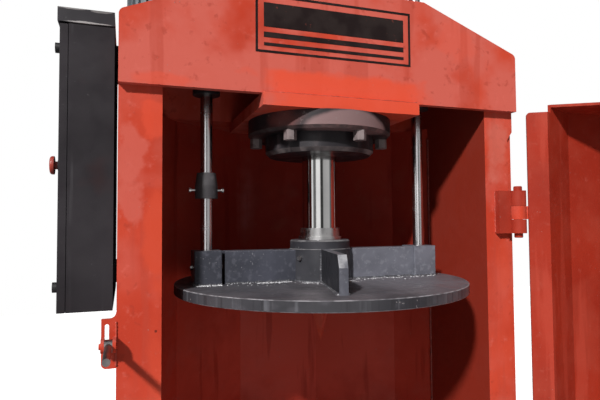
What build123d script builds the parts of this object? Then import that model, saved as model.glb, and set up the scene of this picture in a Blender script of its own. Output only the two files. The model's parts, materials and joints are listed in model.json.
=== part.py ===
from build123d import *
import os
from math import cos, radians, sin

# Drum crusher: a hydraulic press that flattens steel drums in an upright frame.
# Frame: millimetres, +Z up, X across the machine, the door side faces -Y.
# The origin lies on the floor, under the ram's axis, in the middle of the floor bolts.
# The ram and the door are drawn where the photograph has them: the platen high up and the door open.

# Ram: heights are measured from the platen's top face
platen_radius = 310
platen_thickness = 20
platen_top = 1160
press_travel = 880
lift_travel = 100
rod_radius = 38
hub_radius = 67
hub_height = 68
rod_collar_radius = 65
rod_collar_height = 18
rod_collar_chamfer = 3
end_ring_radius = 43
end_ring_height = 25
lip_height = 7
lip_extra = 4
bar_thickness = 44
bar_height = 66
block_width = 55
block_depth = 58
block_gap = 7
guide_spacing = 494
guide_radius = 12.5
guide_top = 2550
stop_collar_radius = 23
stop_collar_rise = 173
stop_collar_height = 52
stop_collar_taper = 4
gusset_thickness = 16
gusset_reach = 258
gusset_skew = 12
gusset_corner_width = 14
gusset_corner_drop = 22
spike_width = 46
spike_length = 111
spike_tip_width = 1
screw_radius = 5
screw_stand = 5
screw_stem_radius = 2.5
screw_stem_length = 8
screw_head_height = 4
hub_screw_turn = -148
hub_screw_share = 0.72
running_clearance = 0.05
seat_clearance = 0.1
small_chamfer = 1.5

# Frame
opening_width = 685
column_width = 74
column_front = -122
column_back = 160
column_wall = 10
column_top_rise = 115
rebate_width = 13
rebate_depth = 6
rebate_top_rise = 322
rebate_slant = 18
beam_rise = 365
beam_plate = 16
beam_side_height = 126
beam_height = 216
beam_flat_width = 369
beam_corner_radius = 12
mount_plate_width = 329
mount_plate_thickness = 24
mount_plate_stand = 8
shelf_rise = 75
shelf_thickness = 16
lug_spacing = 330
lug_thickness = 16
lug_radius = 30
lug_hole_radius = 15
lug_eye_y = 40
base_thickness = 25
base_half_width = 440
base_back = 350
base_front = -235
base_tongue_radius = 332
floor_bolt_x = 800
floor_bolt_y = 390
floor_bolt_radius = 11
bed_radius = 316
bed_thickness = 25
bed_top = 120
bed_chamfer = 3
bed_ring_radius = 285
rib_thickness = 14
sheet_thickness = 6
shell_edge_y = 102
shell_bend_x = 287
shell_bend_y = 194
shell_back_x = 108
shell_back_y = 320

# Cylinder
flange_radius = 155
flange_thickness = 36
flange_chamfer = 6
flange_bolt_circle = 138
flange_bolt_count = 6
flange_bolt_start = -75
bolt_radius = 8
bolt_head_radius = 13
bolt_head_height = 20
bolt_end_gap = 2
gland_radius = 118
gland_height = 39
gland_chamfer = 8
spigot_height = 55
bore_radius = 75
barrel_radius = 90
barrel_cap = 30
barrel_chamfer = 6
piston_thickness = 50
end_gap = 4
bush_radius = 28
bush_drop = 33
bush_flange_radius = 44
bush_flange_thickness = 14
bush_top_height = 30
port_radius = 14
port_reach = 115
lower_port_x = -45
lower_port_rise = 60
pipe_radius = 8
pipe_bend = 20
pipe_end_run = 5
pipe_over_rise = 119

# Door, drawn closed in a frame whose origin is the hinge pin, then turned open
door_open_angle = 148
pin_x = 414
pin_radius = 9
knuckle_radius = 17
knuckle_gap = 0.4
upper_hinge_rise = 143
lower_hinge_rise = -700
hinge_half_height = 46.5
knuckle_top_start = 13
knuckle_low_end = -16.5
pin_overhang = 10
leaf_reach = 48
leaf_thickness = 14
flange_start = 21
flange_end = 64
door_seat_gap = 2
door_bend_x = 128
door_bend_y = 91
door_front_y = 207
door_bottom = 128
door_top_rise = 361
door_cap_rise = 18
cap_inset = 14
door_corner_radius = 8
strap_reach = 56
strap_thickness = 12
fork_width = 44
fork_thickness = 10
fork_height = 60
fork_stand = 13
fork_slot_half = 13

# Latch beside the left column
latch_rise = -78
bracket_width = 24
bracket_height = 83
bracket_thickness = 8
bracket_top_drop = 37
bracket_fillet = 10
bracket_corner_radius = 9
bracket_fillet_tip = 0.6
latch_slot_length = 29
latch_slot_width = 7
latch_slot_shift = 3
latch_slot_drop = 23
ear_thickness = 5.4
ear_reach = 20
ear_radius = 11
latch_pin_radius = 5
latch_pin_overhang = 3
eye_radius = 11
eye_width = 13
bolt_shank_radius = 6
swing_bolt_length = 105
cross_hole_radius = 3
cross_hole_inset = 10

# Control box on the left side
box_back_gap = 6.5
box_body_depth = 74
box_front = -110
box_width = 360
box_bottom_drop = 25
box_top_rise = 490
box_wall = 2.5
box_door_thickness = 13
box_door_gap = 1
roof_skirt = 22
roof_wall = 2.5
door_roof_gap = 3
control_inset = 40
estop_above_middle = 6
estop_radius = 16
estop_head_height = 7
estop_head_fillet = 4
estop_stand = 10
estop_neck_radius = 11
estop_neck_wall = 4
estop_neck_reach = 4
estop_neck_tail = 6
estop_stem_length = 14
lock_radius = 9
lock_reach = 11
lock_low_inset = 39
lock_high_inset = 31
lock_shank_radius = 6
lock_cam_length = 34
lock_cam_width = 12
lock_cam_thickness = 3
lock_cam_shift = 10
lock_cam_gap = 1
box_hinge_radius = 6
box_hinge_pin_radius = 3
box_hinge_length = 40
box_hinge_inset = 70
box_hinge_outset = 8
box_hinge_ear = 9.5
box_hinge_ear_gap = 0.5
box_hinge_ear_plate = 3
box_strip_inset = 60
box_strip_height = 30
box_strip_length = 160
panel_thickness = 3
panel_stand = 8
panel_margin = 50
panel_height_margin = 60
panel_stud_radius = 5
panel_stud_inset = 20
rail_rise = 130
rail_length = 260
rail_height = 35
rail_depth = 7
terminal_count = 14
terminal_pitch = 16
terminal_width = 12
terminal_height = 50
terminal_depth = 30
gear_rise = 360
gear_count = 4
gear_pitch = 62
gear_width = 45
gear_height = 76
gear_depth = 45

# Power pack behind the beam
pack_shelf_depth = 240
pack_shelf_thickness = 12
tank_left = -400
tank_width = 440
tank_depth = 200
tank_height = 230
tank_wall = 4
tank_gap = 14
tank_corner_radius = 14
lid_thickness = 6
lid_overhang = 6
filler_radius = 22
filler_height = 32
filler_inset = 190
filler_shift = -50
motor_x = -320
motor_radius = 82.5
motor_height = 250
bell_radius = 65
bell_height = 30
fan_cover_height = 55
fan_cover_fillet = 14
motor_foot_height = 14
terminal_box_rise = 90
terminal_box_width = 60
terminal_box_height = 90
fin_count = 24
fin_depth = 8
fin_width = 4
valve_width = 110
valve_depth = 80
valve_height = 60
valve_x = -25
solenoid_radius = 20
solenoid_length = 60

# Levels and places that follow from the sizes above
half_opening = opening_width / 2
frame_half = half_opening + column_width
guide_x = guide_spacing / 2
platen_bottom = platen_top - platen_thickness
beam_bottom = platen_top + beam_rise
beam_top = beam_bottom + beam_height
column_top = beam_bottom + column_top_rise
front_plate_face = column_front - beam_plate
rear_plate_face = column_back + beam_plate
mount_plate_bottom = beam_bottom - mount_plate_thickness
mount_plate_face = front_plate_face - mount_plate_stand
flange_bottom = mount_plate_bottom - flange_thickness
gland_bottom = flange_bottom - gland_height
shelf_bottom = beam_bottom + shelf_rise
shelf_top = shelf_bottom + shelf_thickness
spigot_top = flange_bottom + spigot_height
piston_bottom = spigot_top + end_gap + press_travel
piston_top = piston_bottom + piston_thickness
bore_top = piston_top + lift_travel + end_gap
barrel_top = bore_top + barrel_cap
hub_top = platen_top + hub_height
collar_top = hub_top + rod_collar_height
pin_y = column_front - knuckle_radius
door_top = platen_top + door_top_rise

os.makedirs("parts", exist_ok=True)


def save(piece, name):
    """Label a finished piece and write it as one STEP file."""
    piece.part.label = name
    export_step(piece.part, f"parts/{name}.step")


# Base: a floor plate with a round tongue under the front of the bed, and a welded ring with cross ribs
bed_bottom = bed_top - bed_thickness
with BuildPart() as base_plate:
    with BuildSketch():
        with Locations((0, (base_back + base_front) / 2)):
            Rectangle(2 * base_half_width, base_back - base_front)
        Circle(base_tongue_radius)
        with GridLocations(floor_bolt_x, floor_bolt_y, 2, 2):
            Circle(floor_bolt_radius, mode=Mode.SUBTRACT)
    extrude(amount=base_thickness)
    with BuildSketch(Plane.XY.offset(base_thickness)):
        Circle(bed_ring_radius)
        Circle(bed_ring_radius - rib_thickness, mode=Mode.SUBTRACT)
        Rectangle(2 * bed_ring_radius - rib_thickness, rib_thickness)
        Rectangle(rib_thickness, 2 * bed_ring_radius - rib_thickness)
    extrude(amount=bed_bottom - base_thickness)
save(base_plate, "base_plate")

# Bed: a thick round plate that the drum stands on
with BuildPart() as bed_plate:
    with BuildSketch(Plane.XY.offset(bed_bottom)):
        Circle(bed_radius)
    extrude(amount=bed_thickness)
    chamfer(bed_plate.edges().group_by(Axis.Z)[-1], length=bed_chamfer)
save(bed_plate, "bed_plate")


# Columns: welded box posts, the right one rebated at its outer front corner
def column(side):
    """One hollow post. side is -1 for the left one and 1 for the right one."""
    middle_x = side * (half_opening + column_width / 2)
    middle_y = (column_front + column_back) / 2
    depth = column_back - column_front
    with BuildPart() as post:
        with BuildSketch(Plane.XY.offset(base_thickness)):
            with Locations((middle_x, middle_y)):
                Rectangle(column_width, depth)
                Rectangle(column_width - 2 * column_wall, depth - 2 * column_wall, mode=Mode.SUBTRACT)
        extrude(amount=column_top - base_thickness)
        if side > 0:
            rebate_top = platen_top + rebate_top_rise
            with BuildSketch(Plane.XZ.offset(-column_front - rebate_depth)):
                with BuildLine():
                    Polyline(
                        (frame_half - rebate_width, base_thickness),
                        (frame_half + rebate_width, base_thickness),
                        (frame_half + rebate_width, rebate_top + rebate_slant),
                        (frame_half - rebate_width, rebate_top - rebate_slant),
                        close=True,
                    )
                make_face()
            extrude(amount=2 * rebate_depth, mode=Mode.SUBTRACT)
    return post


save(column(-1), "column_left")
save(column(1), "column_right")

# Chamber wall: one folded sheet behind the drum, welded between the columns
shell_slope = (shell_bend_y - shell_edge_y) / (half_opening - shell_bend_x)
half_shell = [
    (half_opening + sheet_thickness, shell_edge_y - sheet_thickness * shell_slope),
    (shell_bend_x, shell_bend_y),
    (shell_back_x, shell_back_y),
]
shell_points = half_shell + [(-x, y) for x, y in reversed(half_shell)]
with BuildPart() as chamber_shell:
    with BuildSketch(Plane.XY.offset(base_thickness)):
        with BuildLine():
            Polyline(*shell_points)
            offset(amount=sheet_thickness, side=Side.RIGHT)
        make_face()
        with Locations((0, shell_back_y / 2)):
            Rectangle(opening_width, shell_back_y + 4 * sheet_thickness, mode=Mode.INTERSECT)
    extrude(amount=beam_bottom - base_thickness)
save(chamber_shell, "chamber_shell")


# Beam: a front and a rear plate with sloped shoulders, on the faces of the columns
def beam_wall(front_face):
    """One beam plate whose front face lies at front_face."""
    with BuildPart() as wall:
        with BuildSketch(Plane.XZ.offset(-front_face - beam_plate)) as outline:
            with BuildLine():
                Polyline(
                    (-frame_half, beam_bottom),
                    (frame_half, beam_bottom),
                    (frame_half, beam_bottom + beam_side_height),
                    (beam_flat_width / 2, beam_top),
                    (-beam_flat_width / 2, beam_top),
                    (-frame_half, beam_bottom + beam_side_height),
                    close=True,
                )
            make_face()
            fillet(outline.vertices().group_by(Axis.Y)[1], radius=beam_corner_radius)
        extrude(amount=beam_plate)
    return wall


save(beam_wall(front_plate_face), "beam_front_plate")
save(beam_wall(column_back), "beam_rear_plate")

# Cylinder mounting plate, welded under both beam plates, a little proud of the front one
with BuildPart() as cylinder_mount_plate:
    with BuildSketch(Plane.XY.offset(mount_plate_bottom)):
        with Locations((0, (mount_plate_face + rear_plate_face) / 2)):
            Rectangle(mount_plate_width, rear_plate_face - mount_plate_face)
        Circle(barrel_radius + seat_clearance, mode=Mode.SUBTRACT)
        with PolarLocations(flange_bolt_circle, flange_bolt_count, start_angle=flange_bolt_start):
            Circle(bolt_radius + seat_clearance, mode=Mode.SUBTRACT)
    extrude(amount=mount_plate_thickness)
save(cylinder_mount_plate, "cylinder_mount_plate")

# Guide shelf between the columns, inside the beam
with BuildPart() as guide_shelf:
    with BuildSketch(Plane.XY.offset(shelf_bottom)):
        with Locations((0, (column_front + column_back) / 2)):
            Rectangle(opening_width, column_back - column_front)
        Circle(barrel_radius + seat_clearance, mode=Mode.SUBTRACT)
        with Locations((-guide_x, 0), (guide_x, 0)):
            Circle(bush_radius + seat_clearance, mode=Mode.SUBTRACT)
    extrude(amount=shelf_thickness)
save(guide_shelf, "guide_shelf")


# Lifting plates stand across the beam and end in an eye above it, over the machine's centre of mass
# and behind the guide rods, so that a shackle's pin goes in from the side
def lifting_plate(middle_x):
    """One plate between the beam plates, with a round eye above their top edge."""
    middle_y = (column_front + column_back) / 2
    eye_z = beam_top + lug_radius
    with BuildPart() as plate:
        with BuildSketch(Plane.YZ.offset(middle_x - lug_thickness / 2)):
            with Locations((middle_y, (shelf_top + beam_top) / 2)):
                Rectangle(column_back - column_front, beam_top - shelf_top)
            with Locations((lug_eye_y, (beam_top + eye_z) / 2)):
                Rectangle(2 * lug_radius, eye_z - beam_top)
            with Locations((lug_eye_y, eye_z)):
                Circle(lug_radius)
                Circle(lug_hole_radius, mode=Mode.SUBTRACT)
        extrude(amount=lug_thickness)
    return plate


save(lifting_plate(-lug_spacing / 2), "lifting_plate_left")
save(lifting_plate(lug_spacing / 2), "lifting_plate_right")

# Cylinder flange, gland ring and barrel
with BuildPart() as cylinder_flange:
    with BuildSketch(Plane.XY.offset(flange_bottom)):
        Circle(flange_radius)
        Circle(barrel_radius + seat_clearance, mode=Mode.SUBTRACT)
        with PolarLocations(flange_bolt_circle, flange_bolt_count, start_angle=flange_bolt_start):
            Circle(bolt_radius + seat_clearance, mode=Mode.SUBTRACT)
    extrude(amount=flange_thickness)
    outer_rim = cylinder_flange.edges().group_by(Axis.Z)[0].sort_by(SortBy.LENGTH)[-1]
    chamfer(outer_rim, length=flange_chamfer)
save(cylinder_flange, "cylinder_flange")

with BuildPart() as flange_bolts:
    with BuildSketch(Plane.XY.offset(flange_bottom - bolt_head_height)):
        with PolarLocations(flange_bolt_circle, flange_bolt_count, start_angle=flange_bolt_start):
            RegularPolygon(bolt_head_radius, 6)
    extrude(amount=bolt_head_height)
    with BuildSketch(Plane.XY.offset(flange_bottom)):
        with PolarLocations(flange_bolt_circle, flange_bolt_count, start_angle=flange_bolt_start):
            Circle(bolt_radius)
    extrude(amount=flange_thickness + mount_plate_thickness - bolt_end_gap)
save(flange_bolts, "flange_bolts")

spigot_radius = bore_radius - seat_clearance
rod_bore = rod_radius + running_clearance
with BuildPart() as gland_ring:
    with BuildSketch(Plane.XZ):
        with BuildLine():
            Polyline(
                (rod_bore, gland_bottom),
                (gland_radius - gland_chamfer, gland_bottom),
                (gland_radius, gland_bottom + gland_chamfer),
                (gland_radius, flange_bottom),
                (spigot_radius, flange_bottom),
                (spigot_radius, spigot_top),
                (rod_bore, spigot_top),
                close=True,
            )
        make_face()
    revolve(axis=Axis.Z)
save(gland_ring, "gland_ring")

upper_port_z = bore_top - 2 * port_radius
lower_port_z = shelf_top + lower_port_rise
with BuildPart() as cylinder_barrel:
    with BuildSketch(Plane.XY.offset(flange_bottom)):
        Circle(barrel_radius)
    extrude(amount=barrel_top - flange_bottom)
    with BuildSketch(Plane.XZ.offset(-port_reach)):
        with Locations((0, upper_port_z), (lower_port_x, lower_port_z)):
            Circle(port_radius)
    extrude(amount=port_reach)
    with BuildSketch(Plane.XY.offset(flange_bottom)):
        Circle(bore_radius)
    extrude(amount=bore_top - flange_bottom, mode=Mode.SUBTRACT)
    chamfer(cylinder_barrel.edges().group_by(Axis.Z)[-1], length=barrel_chamfer)
save(cylinder_barrel, "cylinder_barrel")


# Guide bushes hang through the shelf on their flanges
def guide_bush(middle_x):
    """One flanged bush around a guide rod."""
    bush_bottom = beam_bottom - bush_drop
    flange_end_z = shelf_top + bush_flange_thickness
    bush_top = flange_end_z + bush_top_height
    bush_bore = guide_radius + running_clearance
    with BuildPart() as bush:
        with BuildSketch(Plane.XZ):
            with BuildLine():
                Polyline(
                    (bush_bore, bush_bottom),
                    (bush_radius, bush_bottom),
                    (bush_radius, shelf_top),
                    (bush_flange_radius, shelf_top),
                    (bush_flange_radius, flange_end_z),
                    (bush_radius, flange_end_z),
                    (bush_radius, bush_top),
                    (bush_bore, bush_top),
                    close=True,
                )
            make_face()
        revolve(axis=Axis.Z)
    bush.part = bush.part.moved(Location((middle_x, 0, 0)))
    return bush


save(guide_bush(-guide_x), "guide_bush_left")
save(guide_bush(guide_x), "guide_bush_right")

# Platen, its piercing spike and the hub with its collar and ring
with BuildPart() as platen:
    with BuildSketch(Plane.XY.offset(platen_bottom)):
        Circle(platen_radius)
    extrude(amount=platen_thickness)
    chamfer(platen.edges(), length=small_chamfer)
save(platen, "platen")

with BuildPart() as spike:
    with BuildSketch(Plane.XY.offset(platen_bottom)):
        Rectangle(spike_width, spike_width, rotation=45)
    with BuildSketch(Plane.XY.offset(platen_bottom - spike_length)):
        Rectangle(spike_tip_width, spike_tip_width, rotation=45)
    loft()
save(spike, "spike")

with BuildPart() as hub:
    with BuildSketch(Plane.XY.offset(platen_top)):
        Circle(hub_radius)
        Circle(rod_radius + seat_clearance, mode=Mode.SUBTRACT)
    extrude(amount=hub_height)
    chamfer(hub.edges().group_by(Axis.Z)[-1].sort_by(SortBy.LENGTH)[-1], length=small_chamfer)
save(hub, "hub")

with BuildPart() as rod_collar:
    with BuildSketch(Plane.XY.offset(hub_top)):
        Circle(rod_collar_radius)
        Circle(rod_radius + seat_clearance, mode=Mode.SUBTRACT)
    extrude(amount=rod_collar_height)
    chamfer(rod_collar.edges().group_by(Axis.Z)[-1].sort_by(SortBy.LENGTH)[-1], length=rod_collar_chamfer)
save(rod_collar, "rod_collar")

with BuildPart() as rod_end_ring:
    with BuildSketch(Plane.XY.offset(collar_top)):
        Circle(end_ring_radius + lip_extra)
        Circle(rod_radius + seat_clearance, mode=Mode.SUBTRACT)
    extrude(amount=lip_height)
    with BuildSketch(Plane.XY.offset(collar_top + lip_height)):
        Circle(end_ring_radius)
        Circle(rod_radius + seat_clearance, mode=Mode.SUBTRACT)
    extrude(amount=end_ring_height - lip_height)
save(rod_end_ring, "rod_end_ring")

with BuildPart() as piston_rod:
    with BuildSketch(Plane.XY.offset(platen_top)):
        Circle(rod_radius)
    extrude(amount=piston_bottom - platen_top)
save(piston_rod, "piston_rod")

with BuildPart() as piston:
    with BuildSketch(Plane.XY.offset(piston_bottom)):
        Circle(bore_radius - running_clearance)
    extrude(amount=piston_thickness)
    chamfer(piston.edges(), length=small_chamfer)
save(piston, "piston")


# Crossbar: two bars welded to the hub, each ending in a block that holds a guide rod
block_inner = guide_x - block_width / 2


def crossbar(side, gap):
    """One bar from the hub to the block on that side, with a gap before the block."""
    start = hub_radius / 2
    end = block_inner - gap
    with BuildPart() as bar:
        with BuildSketch(Plane.XY.offset(platen_top)):
            with Locations((side * (start + end) / 2, 0)):
                Rectangle(end - start, bar_thickness)
            Circle(hub_radius, mode=Mode.SUBTRACT)
        extrude(amount=bar_height)
        chamfer(bar.edges().group_by(Axis.Z)[-1].filter_by(Axis.X), length=small_chamfer)
    return bar


def clamp_block(side):
    """One block around the foot of a guide rod."""
    with BuildPart() as block:
        with BuildSketch(Plane.XY.offset(platen_top)):
            with Locations((side * guide_x, 0)):
                Rectangle(block_width, block_depth)
                Circle(guide_radius + seat_clearance, mode=Mode.SUBTRACT)
        extrude(amount=hub_height)
        chamfer(block.edges().filter_by(Axis.Z).filter_by(GeomType.LINE), length=small_chamfer)
    return block


save(crossbar(-1, block_gap), "crossbar_left")
save(crossbar(1, 0), "crossbar_right")
save(clamp_block(-1), "clamp_block_left")
save(clamp_block(1), "clamp_block_right")


# Gussets: sloped plates from the hub to the platen's rim, set a little askew
def gusset(turn):
    """One upright plate that leaves the hub along turn, in degrees from +X."""
    inner = hub_radius / 2
    slope_end = hub_height - gusset_corner_drop
    plane = Plane(
        origin=(0, 0, platen_top),
        x_dir=(cos(radians(turn)), sin(radians(turn)), 0),
        z_dir=(sin(radians(turn)), -cos(radians(turn)), 0),
    )
    with BuildPart() as plate:
        with BuildSketch(plane.offset(-gusset_thickness / 2)):
            with BuildLine():
                Polyline(
                    (inner, 0),
                    (gusset_reach, 0),
                    (gusset_reach, slope_end),
                    (gusset_reach - gusset_corner_width, hub_height),
                    (inner, hub_height),
                    close=True,
                )
            make_face()
        extrude(amount=gusset_thickness)
        with BuildSketch(Plane.XY.offset(platen_top)):
            Circle(hub_radius)
        extrude(amount=hub_height, mode=Mode.SUBTRACT)
    return plate


save(gusset(-90 - gusset_skew), "gusset_front")
save(gusset(90 - gusset_skew), "gusset_rear")


# Guide rods and the stop collar
def guide_rod(side):
    """One polished guide rod from the platen up through its bush."""
    with BuildPart() as rod:
        with BuildSketch(Plane.XY.offset(platen_top)):
            with Locations((side * guide_x, 0)):
                Circle(guide_radius)
        extrude(amount=guide_top - platen_top)
        chamfer(rod.edges().group_by(Axis.Z)[-1], length=small_chamfer)
    return rod


save(guide_rod(-1), "guide_rod_left")
save(guide_rod(1), "guide_rod_right")

with BuildPart() as stop_collar:
    with BuildSketch(Plane.XY.offset(platen_top + stop_collar_rise)):
        with Locations((-guide_x, 0)):
            Circle(stop_collar_radius)
            Circle(guide_radius + seat_clearance, mode=Mode.SUBTRACT)
    extrude(amount=stop_collar_height)
    upper_rim = stop_collar.edges().group_by(Axis.Z)[-1].sort_by(SortBy.LENGTH)[-1]
    chamfer(upper_rim, length=stop_collar_height / 2, length2=stop_collar_taper)
save(stop_collar, "stop_collar")

# Set screws: one on each side of the stop collar and of the left block, and one in the hub
collar_screw_z = platen_top + stop_collar_rise + stop_collar_height / 3
block_screw_z = platen_top + hub_height / 2
hub_screw_x = hub_radius * cos(radians(hub_screw_turn))
hub_screw_y = hub_radius * sin(radians(hub_screw_turn))
hub_screw_z = platen_top + hub_screw_share * hub_height
hub_screw_plane = Plane(origin=(hub_screw_x, hub_screw_y, hub_screw_z), z_dir=(hub_screw_x, hub_screw_y, 0))
with BuildPart() as ram_screws:
    for side in (-1, 1):
        collar_face = -guide_x + side * stop_collar_radius
        with BuildSketch(Plane.YZ.offset(collar_face)):
            with Locations((0, collar_screw_z)):
                Circle(screw_stem_radius)
        extrude(amount=side * screw_stem_length)
        with BuildSketch(Plane.YZ.offset(collar_face + side * screw_stem_length)):
            with Locations((0, collar_screw_z)):
                Circle(screw_radius)
        extrude(amount=side * screw_head_height)
        with BuildSketch(Plane.YZ.offset(-guide_x + side * block_width / 2)):
            with Locations((0, block_screw_z)):
                Circle(screw_radius)
        extrude(amount=side * screw_stand)
    with BuildSketch(hub_screw_plane):
        Circle(screw_radius)
    extrude(amount=screw_stand, both=True)
    with BuildSketch(Plane.XY.offset(platen_top)):
        Circle(hub_radius)
    extrude(amount=hub_height, mode=Mode.SUBTRACT)
save(ram_screws, "ram_screws")


# Hinges: a fixed leaf with two knuckles on the right column, and a pin
def fixed_hinge(middle_z):
    """One leaf and its two knuckles as a single welded piece."""
    leaf_left = pin_x - leaf_reach
    leaf_right = pin_x - knuckle_radius - 1
    top = middle_z + hinge_half_height
    bottom = middle_z - hinge_half_height
    spans = [(middle_z + knuckle_top_start, top), (bottom, middle_z + knuckle_low_end)]
    with BuildPart() as hinge:
        with BuildSketch(Plane.XY.offset(bottom)):
            with Locations(((leaf_left + leaf_right) / 2, column_front - leaf_thickness / 2)):
                Rectangle(leaf_right - leaf_left, leaf_thickness)
        extrude(amount=top - bottom)
        for low, high in spans:
            with BuildSketch(Plane.XY.offset(low)):
                with Locations(((leaf_left + pin_x) / 2, column_front - leaf_thickness / 2)):
                    Rectangle(pin_x - leaf_left, leaf_thickness)
                with Locations((pin_x, pin_y)):
                    Circle(knuckle_radius)
            extrude(amount=high - low)
        with BuildSketch(Plane.XY.offset(bottom)):
            with Locations((pin_x, pin_y)):
                Circle(pin_radius + seat_clearance)
        extrude(amount=top - bottom, mode=Mode.SUBTRACT)
    return hinge


hinge_levels = [platen_top + upper_hinge_rise, platen_top + lower_hinge_rise]
save(fixed_hinge(hinge_levels[0]), "fixed_hinge_upper")
save(fixed_hinge(hinge_levels[1]), "fixed_hinge_lower")

with BuildPart() as hinge_pins:
    for level in hinge_levels:
        with BuildSketch(Plane.XY.offset(level - hinge_half_height - pin_overhang)):
            with Locations((pin_x, pin_y)):
                Circle(pin_radius)
        extrude(amount=2 * hinge_half_height + 2 * pin_overhang)
    chamfer(hinge_pins.edges().filter_by(GeomType.CIRCLE), length=small_chamfer)
save(hinge_pins, "hinge_pins")

# Door: one folded sheet, its flanges beside the columns and its front bulging around the drum
open_turn = radians(door_open_angle)
door_frame = Plane(origin=(pin_x, pin_y, 0), x_dir=(cos(open_turn), sin(open_turn), 0), z_dir=(0, 0, 1))
door_middle = pin_x
half_door = [
    (-flange_start, door_seat_gap),
    (-flange_end, door_seat_gap),
    (-door_bend_x, -door_bend_y),
    (-pin_x + shell_back_x, -door_front_y),
]
door_points = half_door + [(-2 * door_middle - x, y) for x, y in reversed(half_door)]
with BuildPart() as door_skin:
    with BuildSketch(door_frame.offset(door_bottom)):
        with BuildLine():
            Polyline(*door_points)
            offset(amount=sheet_thickness, side=Side.LEFT)
        make_face()
    extrude(amount=door_top - door_bottom)
    flange_corners = door_skin.edges().filter_by(Axis(door_frame.origin, door_frame.y_dir))
    fillet(flange_corners, radius=door_corner_radius)
save(door_skin, "door_skin")

# Door cap: a lid over the tray, standing on a rim of the same sheet above the flanges
wall_slope = (door_bend_x - flange_end) / (door_bend_y + door_seat_gap)
cap_half = [(-flange_end - cap_inset * wall_slope, door_seat_gap - cap_inset)] + half_door[2:]
cap_points = cap_half + [(-2 * door_middle - x, y) for x, y in reversed(cap_half)]
cap_rim = door_cap_rise - sheet_thickness
with BuildPart() as door_cap:
    with BuildSketch(door_frame.offset(door_top)):
        with BuildLine():
            Polyline(*cap_points)
            offset(amount=sheet_thickness, side=Side.LEFT)
        make_face()
    extrude(amount=cap_rim)
    with BuildSketch(door_frame.offset(door_top + cap_rim)):
        with BuildLine():
            Polyline(*cap_points)
            offset(amount=sheet_thickness, side=Side.LEFT)
        make_hull()
    extrude(amount=sheet_thickness)
save(door_cap, "door_cap")

# Door straps: a knuckle on each hinge pin and the strap that carries the door
strap_x = -(strap_reach + pin_radius) / 2
strap_y = door_seat_gap - sheet_thickness - strap_thickness / 2
with BuildPart() as door_straps:
    for level in hinge_levels:
        low = level + knuckle_low_end + knuckle_gap
        high = level + knuckle_top_start - knuckle_gap
        with BuildSketch(door_frame.offset(low)):
            with Locations((strap_x, strap_y)):
                Rectangle(strap_reach - pin_radius, strap_thickness)
            Circle(knuckle_radius)
            Circle(pin_radius + running_clearance, mode=Mode.SUBTRACT)
        extrude(amount=high - low)
save(door_straps, "door_straps")

# Door fork: a slotted lug beside the door's free edge, which the swing bolt passes through
fork_z = platen_top + latch_rise
door_free_edge = -2 * pin_x + flange_start
bolt_x = -(frame_half + bracket_width / 2)
slot_centre = bolt_x - pin_x
flange_outside = door_seat_gap - sheet_thickness
fork_outer = slot_centre - fork_width / 2
fork_inner = door_free_edge + strap_reach - flange_start
fork_y = flange_outside - fork_stand - fork_thickness / 2
with BuildPart() as door_fork:
    with BuildSketch(door_frame.offset(fork_z - fork_height / 2)):
        with Locations(((fork_outer + fork_inner) / 2, fork_y)):
            Rectangle(fork_inner - fork_outer, fork_thickness)
        with Locations(((door_free_edge + fork_inner) / 2, flange_outside - fork_stand / 2)):
            Rectangle(fork_inner - door_free_edge, fork_stand)
    extrude(amount=fork_height)
    with BuildSketch(door_frame.offset(fork_z - fork_height / 2)):
        with Locations((slot_centre, fork_y)):
            Rectangle(2 * fork_slot_half, 2 * fork_thickness)
    extrude(amount=fork_height / 2 + fork_slot_half, mode=Mode.SUBTRACT)
save(door_fork, "door_fork")

# Latch bracket: a slotted plate beside the left column with two ears around the latch bolt
latch_y = column_front - ear_reach
bracket_top = platen_top - bracket_top_drop
bracket_arc_x = -frame_half - bracket_fillet_tip - bracket_fillet
bracket_middle_z = bracket_top - bracket_height / 2
with BuildPart() as latch_bracket:
    with BuildSketch(Plane.XZ.offset(-column_front - bracket_thickness)) as bracket_outline:
        with Locations((bolt_x, bracket_middle_z)):
            Rectangle(bracket_width, bracket_height)
        lower_left = bracket_outline.vertices().group_by(Axis.Y)[0].sort_by(Axis.X)[0]
        fillet(lower_left, radius=bracket_corner_radius)
        with Locations(((bracket_arc_x - frame_half) / 2, bracket_top + bracket_fillet / 2)):
            Rectangle(-frame_half - bracket_arc_x, bracket_fillet)
        with Locations((bracket_arc_x, bracket_top + bracket_fillet)):
            Circle(bracket_fillet, mode=Mode.SUBTRACT)
        with Locations((bolt_x - latch_slot_shift, bracket_top - latch_slot_drop)):
            SlotOverall(latch_slot_length, latch_slot_width, rotation=90, mode=Mode.SUBTRACT)
    extrude(amount=bracket_thickness)
    for ear_side in (-1, 1):
        ear_x = bolt_x + ear_side * (eye_width / 2 + seat_clearance)
        with BuildSketch(Plane.YZ.offset(ear_x)):
            with Locations((column_front - ear_reach / 2, fork_z)):
                Rectangle(ear_reach, 2 * ear_radius)
            with Locations((column_front - ear_reach, fork_z)):
                Circle(ear_radius)
        extrude(amount=ear_side * ear_thickness)
    with BuildSketch(Plane.YZ.offset(bolt_x - bracket_width / 2 - latch_pin_overhang)):
        with Locations((latch_y, fork_z)):
            Circle(latch_pin_radius)
    extrude(amount=bracket_width + 2 * latch_pin_overhang)
save(latch_bracket, "latch_bracket")

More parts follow.
